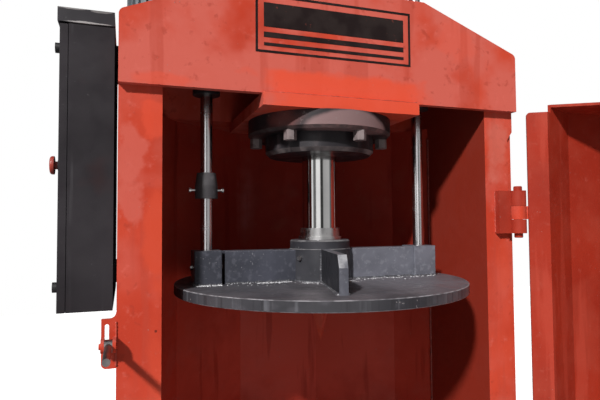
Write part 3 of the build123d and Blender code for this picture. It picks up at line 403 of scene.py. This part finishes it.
def black_steel_finish():
    f = Finish("steel_black", rough=0.42, bump=0.0004, grain=240.0, specular=0.3)
    f.base((0.030, 0.029, 0.032), (0.018, 0.017, 0.019), scale=12.0)
    f.speckle((0.085, 0.080, 0.084), 60.0, 0.58, 0.72, 0.6)
    f.speckle((0.07, 0.028, 0.024), 18.0, 0.58, 0.72, 0.6)
    f.speckle((0.20, 0.19, 0.19), 200.0, 0.68, 0.74, 0.5, within=(10.0, 0.5, 0.6))
    return f.done()


def flange_finish():
    """The dark flange, with a painted pool of light on its front where the tab's shadow leaves it lit, and
    red overspray.
    """
    f = Finish("flange_paint", rough=0.5, bump=0.0006, grain=200.0, specular=0.2)
    f.base((0.030, 0.025, 0.028), (0.018, 0.015, 0.017), scale=10.0)
    # Painted light: a paler patch on the front, where the tab's shadow leaves the flange lit
    f.patch((0.23, 0.145, 0.145), (12, -155, 1462), (104, 90, 40), wobble=0.06, soft=0.14)
    f.speckle((0.26, 0.085, 0.075), 9.0, 0.50, 0.68, 0.5)
    f.speckle((0.24, 0.20, 0.20), 110.0, 0.62, 0.74, 0.4)
    f.chamfer_wear_and_highlight((0.07, 0.06, 0.06), 0.7)
    return f.done()


def bolt_finish():
    f = Finish("bolt_heads", rough=0.42, bump=0.0003, grain=260.0, specular=0.3)
    f.base((0.25, 0.20, 0.20), (0.15, 0.12, 0.12), scale=40.0)
    f.speckle((0.09, 0.06, 0.06), 70.0, 0.54, 0.68, 0.7)
    return f.done()


def button_finish():
    f = Finish("button_red", rough=0.4, bump=0.0, specular=0.5)
    f.base((0.36, 0.045, 0.028), (0.27, 0.032, 0.022), scale=40.0)
    return f.done(vary=0.08)


def plastic_finish():
    f = Finish("plastic_black", rough=0.45, bump=0.0001, grain=500.0, specular=0.5)
    f.base((0.020, 0.020, 0.022), (0.012, 0.012, 0.013), scale=40.0)
    f.speckle((0.06, 0.058, 0.06), 90.0, 0.62, 0.74, 0.5)
    return f.done(vary=0.1)


def motor_finish():
    f = Finish("paint_motor", rough=0.45, bump=0.0005, grain=260.0, specular=0.25)
    f.base((0.20, 0.22, 0.24), (0.15, 0.165, 0.18), scale=12.0)
    f.speckle((0.30, 0.31, 0.33), 60.0, 0.58, 0.74, 0.5)
    f.speckle((0.09, 0.085, 0.085), 34.0, 0.6, 0.7, 0.5)
    f.dust((0.34, 0.32, 0.30), 0.45)
    return f.done()


def weld_metal_finish():
    f = Finish("weld_metal", rough=0.42, metal=0.25, bump=0.0004, grain=380.0)
    f.base((0.10, 0.10, 0.11), (0.06, 0.06, 0.07), scale=60.0)
    f.speckle((0.40, 0.40, 0.42), 190.0, 0.58, 0.66, 0.8)
    return f.done()


def painted_weld(name, plain, deep, pale):
    """A weld bead under red paint."""
    f = Finish(name, rough=0.5, bump=0.0004, grain=380.0)
    f.base(plain, deep, scale=50.0)
    f.speckle(pale, 120.0, 0.56, 0.7, 0.6)
    return f.done()


def spatter_finish():
    f = Finish("spatter", rough=0.45, metal=0.1, bump=0.0)
    f.base((0.74, 0.74, 0.76), (0.42, 0.42, 0.44), scale=120.0)
    return f.done()


def sign_finish():
    """Black paint of the sign, with red showing through in specks."""
    f = Finish("sign_black", rough=0.6, bump=0.0002, grain=300.0, specular=0.08)
    f.base((0.016, 0.010, 0.010), (0.026, 0.018, 0.017), scale=30.0)
    f.speckle((0.22, 0.05, 0.035), 150.0, 0.66, 0.72, 0.8, within=(14.0, 0.45, 0.6))
    return f.done()


def gland_finish():
    f = Finish("gland_paint", rough=0.4, bump=0.0004, grain=200.0, specular=0.25)
    f.base((0.030, 0.026, 0.030), (0.017, 0.015, 0.018), scale=10.0)
    f.speckle((0.075, 0.060, 0.064), 40.0, 0.56, 0.7, 0.7, stretch=(1.0, 1.0, 0.25))
    # A painted highlight along the lower chamfer
    f.chamfer_wear_and_highlight((0.22, 0.19, 0.19), 1.0, scale=22.0)
    return f.done()


def hub_finish():
    f = Finish("hub_paint", rough=0.44, bump=0.0006, grain=160.0, specular=0.22)
    f.base((0.052, 0.052, 0.060), (0.032, 0.032, 0.038), scale=12.0)
    f.speckle((0.11, 0.11, 0.125), 34.0, 0.58, 0.7, 0.5)
    f.speckle((0.30, 0.29, 0.31), 180.0, 0.68, 0.73, 0.6, within=CHIP_AREAS)
    f.dust((0.15, 0.14, 0.15), 0.4)
    f.chamfer_wear_and_highlight((0.20, 0.195, 0.20), 0.8)
    return f.done()


def collar_finish():
    f = Finish("collar_paint", rough=0.42, bump=0.0005, grain=160.0, specular=0.25)
    f.base((0.085, 0.080, 0.085), (0.055, 0.052, 0.056), scale=18.0)
    f.speckle((0.16, 0.15, 0.16), 60.0, 0.58, 0.7, 0.5)
    return f.done()


slot_finish = {
    "red_paint": red_finish("paint_red", 0.5),
    "dark_paint": dark_finish(),
    "chamber_paint": chamber_finish(),
    "box_paint": box_finish(),
    "chrome": chrome_finish(
        "chrome_plate",
        rough=0.09,
        plain=(0.72, 0.71, 0.70),
        deep=(0.62, 0.61, 0.61),
        marks=(0.40, 0.37, 0.36),
        amount=0.4,
        vary=0.03,
    ),
    "bright_steel": bare_steel(
        "steel_bright",
        rough=0.3,
        plain=(0.66, 0.65, 0.65),
        deep=(0.52, 0.51, 0.51),
        scale=14.0,
        marks=(0.30, 0.27, 0.25),
        marks_scale=60.0,
        amount=0.5,
        vary=0.08,
    ),
    "black_steel": black_steel_finish(),
    "zinc": bare_steel(
        "zinc_plate",
        rough=0.34,
        plain=(0.34, 0.33, 0.33),
        deep=(0.20, 0.19, 0.19),
        scale=30.0,
        marks=(0.23, 0.17, 0.14),
        marks_scale=55.0,
        amount=0.6,
        vary=0.1,
    ),
    "estop_red": button_finish(),
    "black_plastic": plastic_finish(),
    "motor_grey": motor_finish(),
}
red_beam = red_finish("paint_beam", 1.0, BEAM_PATCHES)
# The columns' faces that look left and right get painted shade
red_column = red_finish("paint_column", 0.22, COLUMN_PATCHES, inner=0.9)
red_door = red_finish("paint_door", 0.25, (), RED_DOOR, RED_DOOR_DEEP, RED_DOOR_DUSTY)
red_hinge = red_finish("paint_hinge", 0.2, (), RED_HINGE, RED_HINGE_DEEP, RED_HINGE_DUSTY)
dark_left = bar_finish(
    "paint_bar_left",
    rough=0.44,
    specular=0.24,
    plain=(0.074, 0.077, 0.100),
    deep=(0.045, 0.047, 0.060),
    pale=(0.115, 0.118, 0.145),
    chips=BARE_CHIPS,
)
# The right bar's copy of the bar paint is lighter: a painted sheen
bar_paint_painted_sheen = bar_finish(
    "paint_bar_right_painted_sheen",
    rough=0.42,
    specular=0.28,
    plain=(0.160, 0.163, 0.196),
    deep=(0.105, 0.108, 0.130),
    pale=(0.22, 0.225, 0.26),
    chips=(0.46, 0.46, 0.50),
)
guide_chrome = chrome_finish(
    "chrome_guides",
    rough=0.24,
    plain=(0.74, 0.72, 0.73),
    deep=(0.62, 0.60, 0.61),
    marks=(0.40, 0.36, 0.36),
    amount=0.5,
    vary=0.04,
)
hub_paint = hub_finish()
own_finish = {
    "beam_front_plate": red_beam,
    "cylinder_mount_plate": red_beam,
    "column_left": red_column,
    "column_right": red_column,
    "door_skin": red_door,
    "door_cap": red_door,
    "control_box_roof": roof_finish(),
    "platen": platen_finish(),
    "cylinder_flange": flange_finish(),
    "gland_ring": gland_finish(),
    "hub": hub_paint,
    "rod_collar": hub_paint,
    "stop_collar": collar_finish(),
    "crossbar_left": dark_left,
    "clamp_block_left": dark_left,
    "crossbar_right": bar_paint_painted_sheen,
    "clamp_block_right": bar_paint_painted_sheen,
    "guide_rod_left": guide_chrome,
    "guide_rod_right": guide_chrome,
    "hinge_pins": red_hinge,
    "fixed_hinge_upper": red_hinge,
    "fixed_hinge_lower": red_hinge,
    "flange_bolts": bolt_finish(),
}
for part in frame["record"]["subparts"]:
    node = frame["nodes"][part["node"]]
    made = own_finish.get(part["node"], slot_finish[part["material_slot"]])
    if not node.material_slots:
        node.data.materials.append(made)
    for place in node.material_slots:
        place.material = made


# Shapes for the added pieces, in mm
def piece(name, body, verts, faces, material, slot, smooth=True):
    mesh = bpy.data.meshes.new(name)
    mesh.from_pydata([tuple(c * MM for c in v) for v in verts], [], faces)
    mesh.update()
    for poly in mesh.polygons:
        poly.use_smooth = smooth
    mesh.materials.append(material)
    obj = bpy.data.objects.new(name, mesh)
    scene.collection.objects.link(obj)
    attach(obj, body)
    return obj


def join(shapes):
    """One mesh from several pairs of vertices and faces."""
    verts, faces = [], []
    for new_verts, new_faces in shapes:
        start = len(verts)
        verts += new_verts
        faces += [tuple(i + start for i in face) for face in new_faces]
    return verts, faces


def points_along(path, step, closed):
    """Points at about every step of a path, as vectors."""
    runs = len(path) if closed else len(path) - 1
    points = []
    for i in range(runs):
        a, b = Vector(path[i]), Vector(path[(i + 1) % len(path)])
        count = max(1, round((b - a).length / step))
        points += [a.lerp(b, k / count) for k in range(count)]
    if not closed:
        points.append(Vector(path[-1]))
    return points


LUMPS_PER_MM = 0.11
DRIFTS_PER_MM = 0.05
DRIFT_SHIFT = Vector((3, 1, 2))


def weld(path, radius, sides, step, ripple, pitch, closed=False):
    """A rippled weld bead along a path, capped at the ends unless it is closed."""
    points = points_along(path, step, closed)
    count = len(points)
    verts, faces = [], []
    side = None
    for i, p in enumerate(points):
        after = points[(i + 1) % count] if closed or i < count - 1 else p
        before = points[i - 1] if closed or i > 0 else p
        ahead = (after - before).normalized()
        if side is None:
            side = ahead.orthogonal().normalized()
        side = (side - ahead * side.dot(ahead)).normalized()
        up = ahead.cross(side)
        wave = 0.5 * math.sin(i * step * math.tau / pitch)
        swell = radius * (1.0 + ripple * (wave + noise.noise(p * LUMPS_PER_MM) * 0.9))
        p = p + side * (ripple * radius * 0.5 * noise.noise(p * DRIFTS_PER_MM + DRIFT_SHIFT))
        for k in range(sides):
            a = math.tau * k / sides
            verts.append(tuple(p + side * math.cos(a) * swell + up * math.sin(a) * swell))
    for i in range(count if closed else count - 1):
        for k in range(sides):
            here, there = i * sides, ((i + 1) % count) * sides
            beside = (k + 1) % sides
            faces.append((here + k, here + beside, there + beside, there + k))
    if not closed:
        faces.append(tuple(reversed(range(sides))))
        faces.append(tuple(range((count - 1) * sides, count * sides)))
    return verts, faces


def slab(x0, x1, y0, y1, z0, z1):
    v = [(x, y, z) for z in (z0, z1) for y in (y0, y1) for x in (x0, x1)]
    return v, [(0, 2, 3, 1), (4, 5, 7, 6), (0, 1, 5, 4), (2, 6, 7, 3), (0, 4, 6, 2), (1, 3, 7, 5)]


def circle(radius, z, count=72):
    turns = [math.tau * k / count for k in range(count)]
    return [(radius * math.cos(a), radius * math.sin(a), z) for a in turns]


def blob(x, y, z, r, height, sides=7):
    """A flattened drop that sits on a face that looks up."""
    verts = [(x, y, z + height)]
    rings = ((0.6, 0.75), (1.0, 0.25), (1.05, -0.15))
    for ring, (width, rise) in enumerate(rings):
        for k in range(sides):
            a = math.tau * (k + 0.5 * ring) / sides
            uneven = 1.0 + 0.25 * noise.noise(Vector((x + k, y, z)) * 1.7)
            reach = r * width * uneven
            verts.append((x + reach * math.cos(a), y + reach * math.sin(a), z + height * rise))
    faces = [(0, 1 + k, 1 + (k + 1) % sides) for k in range(sides)]
    for ring in range(len(rings) - 1):
        for k in range(sides):
            a, b = 1 + ring * sides + k, 1 + ring * sides + (k + 1) % sides
            faces.append((a, a + sides, b + sides, b))
    last = 1 + (len(rings) - 1) * sides
    faces.append(tuple(last + k for k in reversed(range(sides))))
    return verts, faces


def turned(profile, centre, sides=40):
    """A ring swept round an upright axis from a closed profile of (radius, z)."""
    verts, faces = [], []
    n = len(profile)
    for k in range(sides):
        a = math.tau * k / sides
        verts += [(centre[0] + r * math.cos(a), centre[1] + r * math.sin(a), z) for r, z in profile]
    for k in range(sides):
        after = (k + 1) % sides
        for i in range(n):
            j = (i + 1) % n
            faces.append((k * n + i, after * n + i, after * n + j, k * n + j))
    return verts, faces


RAM_BEAD = dict(sides=8, step=1.6, ripple=0.45, pitch=5.5)
FRAME_BEAD = dict(sides=7, step=2.2, ripple=0.5, pitch=6.0)
BEAM_BEAD = dict(sides=7, step=2.4, ripple=0.35, pitch=5.0)
BAR_WELD = 3.6
BLOCK_WELD = 3.4
GUSSET_WELD = 3.0
UPRIGHT_WELD = 2.6
BEAM_WELD = 3.6
FOOT_WELD = 3.4
LIFTING_WELD = 3.0
SEAM_WELD = 3.2
THIN_WELD = 1.8
GUSSET_TURNS = (-102, 78)
GUSSET_HALF = 8
GUSSET_END = 256
GUSSET_WELD_RISE = (2, 60)


def level_weld(start, end, radius):
    """A bead on the platen's top from one (x, y) to another."""
    return weld([(*start, PLATEN_TOP), (*end, PLATEN_TOP)], radius, **RAM_BEAD)


def ram_welds():
    """Beads along the foot of the bars, blocks, hub and gussets, and up the gussets' inner edges."""
    welds = []
    for start, end in (BAR_LEFT, BAR_RIGHT):
        for y in (-BAR_Y, BAR_Y):
            welds.append(level_weld((start + 2, y), (end - 2, y), BAR_WELD))
    for side in (-1, 1):
        inner, outer = side * BLOCK_IN, side * BLOCK_OUT
        for y in (-BLOCK_Y, BLOCK_Y):
            welds.append(level_weld((inner, y), (outer, y), BLOCK_WELD))
        welds.append(level_weld((outer, -BLOCK_Y), (outer, BLOCK_Y), BLOCK_WELD))
    welds.append(weld(circle(HUB_RADIUS, PLATEN_TOP), BAR_WELD, closed=True, **RAM_BEAD))
    for turn in GUSSET_TURNS:
        a = math.radians(turn)
        along, across = Vector((math.cos(a), math.sin(a))), Vector((-math.sin(a), math.cos(a)))
        for offset in (-GUSSET_HALF, GUSSET_HALF):
            start = along * (HUB_RADIUS + 1) + across * offset
            welds.append(level_weld(start, along * GUSSET_END + across * offset, GUSSET_WELD))
        for offset in (-GUSSET_HALF, GUSSET_HALF):
            foot = along * HUB_RADIUS + across * offset
            upright = [(*foot, PLATEN_TOP + rise) for rise in GUSSET_WELD_RISE]
            welds.append(weld(upright, UPRIGHT_WELD, **RAM_BEAD))
    return join(welds)


DROPS = 520
# The draws, from 0 to 1, up to which a drop lies by the left bar, by the right bar or by the hub
LEFT_DROPS, RIGHT_DROPS, HUB_DROPS = 0.42, 0.62, 0.86


def drop_place():
    """Where a drop of spatter lies: before a bar or block, round the hub's front, or further off."""
    pick = rng.random()
    if pick < LEFT_DROPS:
        by_bar = rng.uniform(-150, -72)
        by_block = rng.uniform(-272, -222)
        x = rng.choice((by_bar, by_block))
        y = -BAR_Y - abs(rng.gauss(0, 6)) - 3
        if x < BAR_LEFT[0]:
            y -= BLOCK_Y - BAR_Y
    elif pick < RIGHT_DROPS:
        x = rng.uniform(70, 268)
        y = -BAR_Y - abs(rng.gauss(0, 8)) - 8
    elif pick < HUB_DROPS:
        a = rng.uniform(-2.4, -0.8)
        r = HUB_RADIUS + 4 + abs(rng.gauss(0, 10))
        x, y = r * math.cos(a), r * math.sin(a)
    else:
        x = rng.uniform(-220, 230)
        y = rng.choice((-1, 1)) * (BAR_Y + rng.uniform(4, 60))
    return x, y


def spatter():
    """Drops of metal from the ram's welds, stuck to the platen."""
    drops = []
    for _ in range(DROPS):
        x, y = drop_place()
        size = rng.uniform(0.6, 1.9)
        drops.append(blob(x, y, PLATEN_TOP - 0.1, size, size * 0.8))
    return join(drops)


def guide_bush(node):
    """A bush that ends inside the beam, as the photo shows the guide rods bare under the beam."""
    bore, body, bottom = 12.7, 28, 1545
    (left, right), _, (_, top) = spans(node)
    flange = (right - left) / 2
    flange_top = SHELF_TOP + 14
    profile = [
        (bore, bottom),
        (body - 1, bottom),
        (body, bottom + 1),
        (body, SHELF_TOP),
        (flange, SHELF_TOP),
        (flange, flange_top),
        (body, flange_top),
        (body, top),
        (bore, top),
    ]
    return turned(profile, ((left + right) / 2, 0))


def chamber_welds():
    """Beads up both front edges of the chamber wall."""
    y = CHAMBER_Y[0] - 1
    low, high = spans("bed_plate")[2][1] + 4, 1498
    welds = []
    for x in CHAMBER_X:
        welds.append(weld([(x, y, low), (x, y, high)], SEAM_WELD, **FRAME_BEAD))
    return join(welds)


def frame_welds():
    """Beads of the beam's lower edge, columns' feet, fixed hinges, latch bracket and lifting plates."""
    beam_end = spans("cylinder_mount_plate")[0][1] - 1.5
    beam_edge = [(x, BEAM_FRONT - 0.5, BEAM_LOW) for x in (-beam_end, beam_end)]
    welds = [weld(beam_edge, BEAM_WELD, **BEAM_BEAD)]
    foot = COLUMN_Z[0] + 1
    front, back = COLUMN_Y
    inner, outer = COLUMN_X
    hinge_plate, bracket_length = 30, 74
    for side in (-1, 1):
        for x in COLUMN_X:
            along = [(side * x, front + 2, foot), (side * x, back - 2, foot)]
            welds.append(weld(along, FOOT_WELD, **FRAME_BEAD))
        for y in COLUMN_Y:
            across = [(side * (inner + 1.5), y, foot), (side * (outer - 1.5), y, foot)]
            welds.append(weld(across, FOOT_WELD, **FRAME_BEAD))
    for hinge in ("fixed_hinge_upper", "fixed_hinge_lower"):
        (left, _), _, (low, high) = spans(hinge)
        for x in (left, left + hinge_plate):
            upright = [(x, front - 0.4, low + 1.5), (x, front - 0.4, high - 1.5)]
            welds.append(weld(upright, THIN_WELD, **FRAME_BEAD))
    side_x = -outer - 0.3
    low = spans("latch_bracket")[2][0] + 4
    bracket = [(side_x, front - 1, low), (side_x, front - 1, low + bracket_length)]
    welds.append(weld(bracket, THIN_WELD, **FRAME_BEAD))
    for x in spans("lifting_plate_left")[0] + spans("lifting_plate_right")[0]:
        on_shelf = [(x, front + 4, SHELF_TOP), (x, back - 4, SHELF_TOP)]
        welds.append(weld(on_shelf, LIFTING_WELD, **FRAME_BEAD))
    return join(welds)


def sign():
    """A plain outline round plain bars, 0.6 mm proud of the beam."""
    x0, x1, z0, z1 = -177, 150, 1601, 1712
    depth = (BEAM_FRONT - 0.6, BEAM_FRONT + 0.1)
    line, margin = 4.5, 16
    bars = [
        slab(x0, x1, *depth, z0, z0 + line),
        slab(x0, x1, *depth, z1 - line, z1),
        slab(x0, x0 + line, *depth, z0 + line, z1 - line),
        slab(x1 - line, x1, *depth, z0 + line, z1 - line),
    ]
    for low, high in ((1650, 1696), (1630, 1640), (1614, 1620)):
        bars.append(slab(x0 + margin, x1 - margin, *depth, low, high))
    return join(bars)


weld_red = painted_weld("weld_red", (0.50, 0.062, 0.034), (0.36, 0.042, 0.024), (0.58, 0.14, 0.11))
weld_chamber = painted_weld("weld_chamber", (0.30, 0.036, 0.024), (0.17, 0.020, 0.014), (0.46, 0.10, 0.08))
piece("ram_weld_beads", "ram", *ram_welds(), weld_metal_finish(), "dark_paint")
piece("weld_spatter", "ram", *spatter(), spatter_finish(), "bright_steel")
black_steel = slot_finish["black_steel"]
for name in ("guide_bush_left", "guide_bush_right"):
    made = piece(name + "_seen", "frame", *guide_bush(name), black_steel, "black_steel", smooth=False)
    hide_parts(name)
piece("chamber_weld_beads", "frame", *chamber_welds(), weld_chamber, "chamber_paint")
piece("frame_weld_beads", "frame", *frame_welds(), weld_red, "red_paint")
piece("sign_outline_and_bars", "frame", *sign(), sign_finish(), "black_plastic", smooth=False)


# Floor, lamps and camera, in metres
def floor_finish():
    """A floor that is pale to the camera, and darker in the light that it throws on the part."""
    f = Finish("floor", rough=0.7, bump=0.0, specular=0.2)
    f.base((0.93, 0.93, 0.93), (0.90, 0.90, 0.90), scale=1.5)
    f.done()
    to_part = f.node("ShaderNodeBsdfDiffuse")
    to_part.inputs["Color"].default_value = (0.30, 0.29, 0.29, 1)
    glow = f.node("ShaderNodeEmission")
    glow.inputs["Color"].default_value = WHITE
    glow.inputs["Strength"].default_value = 0.50
    to_camera = f.node("ShaderNodeAddShader")
    f.put(to_camera.inputs[0], f.shader.outputs[0])
    f.put(to_camera.inputs[1], glow.outputs[0])
    choose = f.node("ShaderNodeMixShader")
    f.put(choose.inputs[0], f.node("ShaderNodeLightPath").outputs["Is Camera Ray"])
    f.put(choose.inputs[1], to_part.outputs[0])
    f.put(choose.inputs[2], to_camera.outputs[0])
    f.put(f.nodes["Material Output"].inputs[0], choose.outputs[0])
    return f.mat


def floor_grid(half=7.0, cuts=12, z=-0.0005):
    """A square of small faces just under the part."""
    lines = [-half + 2 * half * i / cuts for i in range(cuts + 1)]
    verts = [(x, y, z) for y in lines for x in lines]
    row = cuts + 1
    corners = [j * row + i for j in range(cuts) for i in range(cuts)]
    return verts, [(c, c + 1, c + row + 1, c + row) for c in corners]


floor_verts, floor_faces = floor_grid()
floor_mesh = bpy.data.meshes.new("floor")
floor_mesh.from_pydata(floor_verts, [], floor_faces)
floor_mesh.materials.append(floor_finish())
floor = bpy.data.objects.new("floor", floor_mesh)
scene.collection.objects.link(floor)

AMBIENT = 0.17
AMBIENT_COLOR = (1.0, 0.98, 0.97, 1)
# Degrees round from +x to the camera's side of the part
CAMERA_SIDE = -111.0
# How bright the surround is in shiny metal, by degrees round from the camera's side
SOFT_BOXES = [
    (-180, 0.10),
    (-92, 0.10),
    (-84, 0.95),
    (-44, 0.95),
    (-38, 0.16),
    (-24, 0.16),
    (-20, 1.0),
    (4, 1.0),
    (9, 0.04),
    (22, 0.04),
    (28, 0.42),
    (66, 0.50),
    (78, 0.10),
]

world = bpy.data.worlds.new("studio")
scene.world = world
world.use_nodes = True
world_nodes = world.node_tree.nodes
world_link = world.node_tree.links.new


def direction():
    """The direction of a ray round the part, from 0 to 1."""
    spread = world_nodes.new("ShaderNodeSeparateXYZ")
    world_link(world_nodes.new("ShaderNodeTexCoord").outputs["Generated"], spread.inputs[0])
    around = world_nodes.new("ShaderNodeMath")
    around.operation = "ARCTAN2"
    world_link(spread.outputs[1], around.inputs[0])
    world_link(spread.outputs[0], around.inputs[1])
    share = world_nodes.new("ShaderNodeMapRange")
    world_link(around.outputs[0], share.inputs[0])
    for i, v in enumerate((-math.pi, math.pi, 0.0, 1.0)):
        share.inputs[i + 1].default_value = v
    return share.outputs[0]


def soft_boxes():
    """The bright and dark bands round the part."""
    bands = world_nodes.new("ShaderNodeValToRGB")
    world_link(direction(), bands.inputs[0])
    ramp = bands.color_ramp
    stops = sorted((((CAMERA_SIDE + a + 180.0) % 360.0) / 360.0, v) for a, v in SOFT_BOXES)
    while len(ramp.elements) < len(stops):
        ramp.elements.new(0.5)
    for element, (at, v) in zip(ramp.elements, stops):
        element.position = at
        element.color = (v, v, v, 1)
    return bands.outputs[0]


def light_for(ray, others, light):
    """One light for rays of a kind and another for the others."""
    choose = world_nodes.new("ShaderNodeMixShader")
    world_link(world_nodes.new("ShaderNodeLightPath").outputs[ray], choose.inputs[0])
    world_link(others.outputs[0], choose.inputs[1])
    world_link(light.outputs[0], choose.inputs[2])
    return choose


even = world_nodes["Background"]
even.inputs["Color"].default_value = AMBIENT_COLOR
even.inputs["Strength"].default_value = AMBIENT
shine = world_nodes.new("ShaderNodeBackground")
world_link(soft_boxes(), shine.inputs["Color"])
white = world_nodes.new("ShaderNodeBackground")
white.inputs["Color"].default_value = WHITE
on_part = light_for("Is Glossy Ray", even, shine)
seen = light_for("Is Camera Ray", on_part, white)
world_link(seen.outputs[0], world_nodes["World Output"].inputs[0])


def aim(obj, direction):
    """Turn a lamp so that it shines along a direction."""
    obj.rotation_mode = "QUATERNION"
    obj.rotation_quaternion = direction.to_track_quat("-Z", "Y")


SUNLIGHT = Vector((1.0, 1.14, -1.0))
FILL_PLACE = Vector((-0.15, -1.15, 0.55))
FILL_TARGET = Vector((0.06, 0.3, 0.98))

sun = bpy.data.lights.new("key", "SUN")
sun.energy = 3.95
sun.angle = math.radians(4.0)
sun.color = (1.0, 0.985, 0.97)
key = bpy.data.objects.new("key", sun)
scene.collection.objects.link(key)
aim(key, SUNLIGHT)

soft = bpy.data.lights.new("fill", "AREA")
soft.energy = 1.5
soft.size = 0.6
soft.color = (1.0, 0.96, 0.94)
fill = bpy.data.objects.new("fill", soft)
scene.collection.objects.link(fill)
fill.location = FILL_PLACE
aim(fill, FILL_TARGET - FILL_PLACE)

# The camera's place, turns in degrees and lens, as fitted to the photo
CAMERA = (-0.4036, -1.0532, 1.2858)
YAW, PITCH, ROLL = 18.8017, 2.36503, 0.38016
LENS = 30.813

lens = bpy.data.cameras.new("view")
lens.sensor_fit = "HORIZONTAL"
lens.sensor_width = 36.0
lens.lens = LENS
camera = bpy.data.objects.new("view", lens)
scene.collection.objects.link(camera)
yaw, pitch, roll = (math.radians(a) for a in (YAW, PITCH, ROLL))
ahead = Vector((math.sin(yaw) * math.cos(pitch), math.cos(yaw) * math.cos(pitch), math.sin(pitch)))
level = Vector((math.cos(yaw), -math.sin(yaw), 0))
upright = Vector((-math.sin(yaw) * math.sin(pitch), -math.cos(yaw) * math.sin(pitch), math.cos(pitch)))
right = level * math.cos(roll) - upright * math.sin(roll)
up = level * math.sin(roll) + upright * math.cos(roll)
turn = Matrix((right, up, -ahead)).transposed().to_4x4()
camera.matrix_world = Matrix.Translation(CAMERA) @ turn
scene.camera = camera
scene.view_settings.view_transform = "Standard"
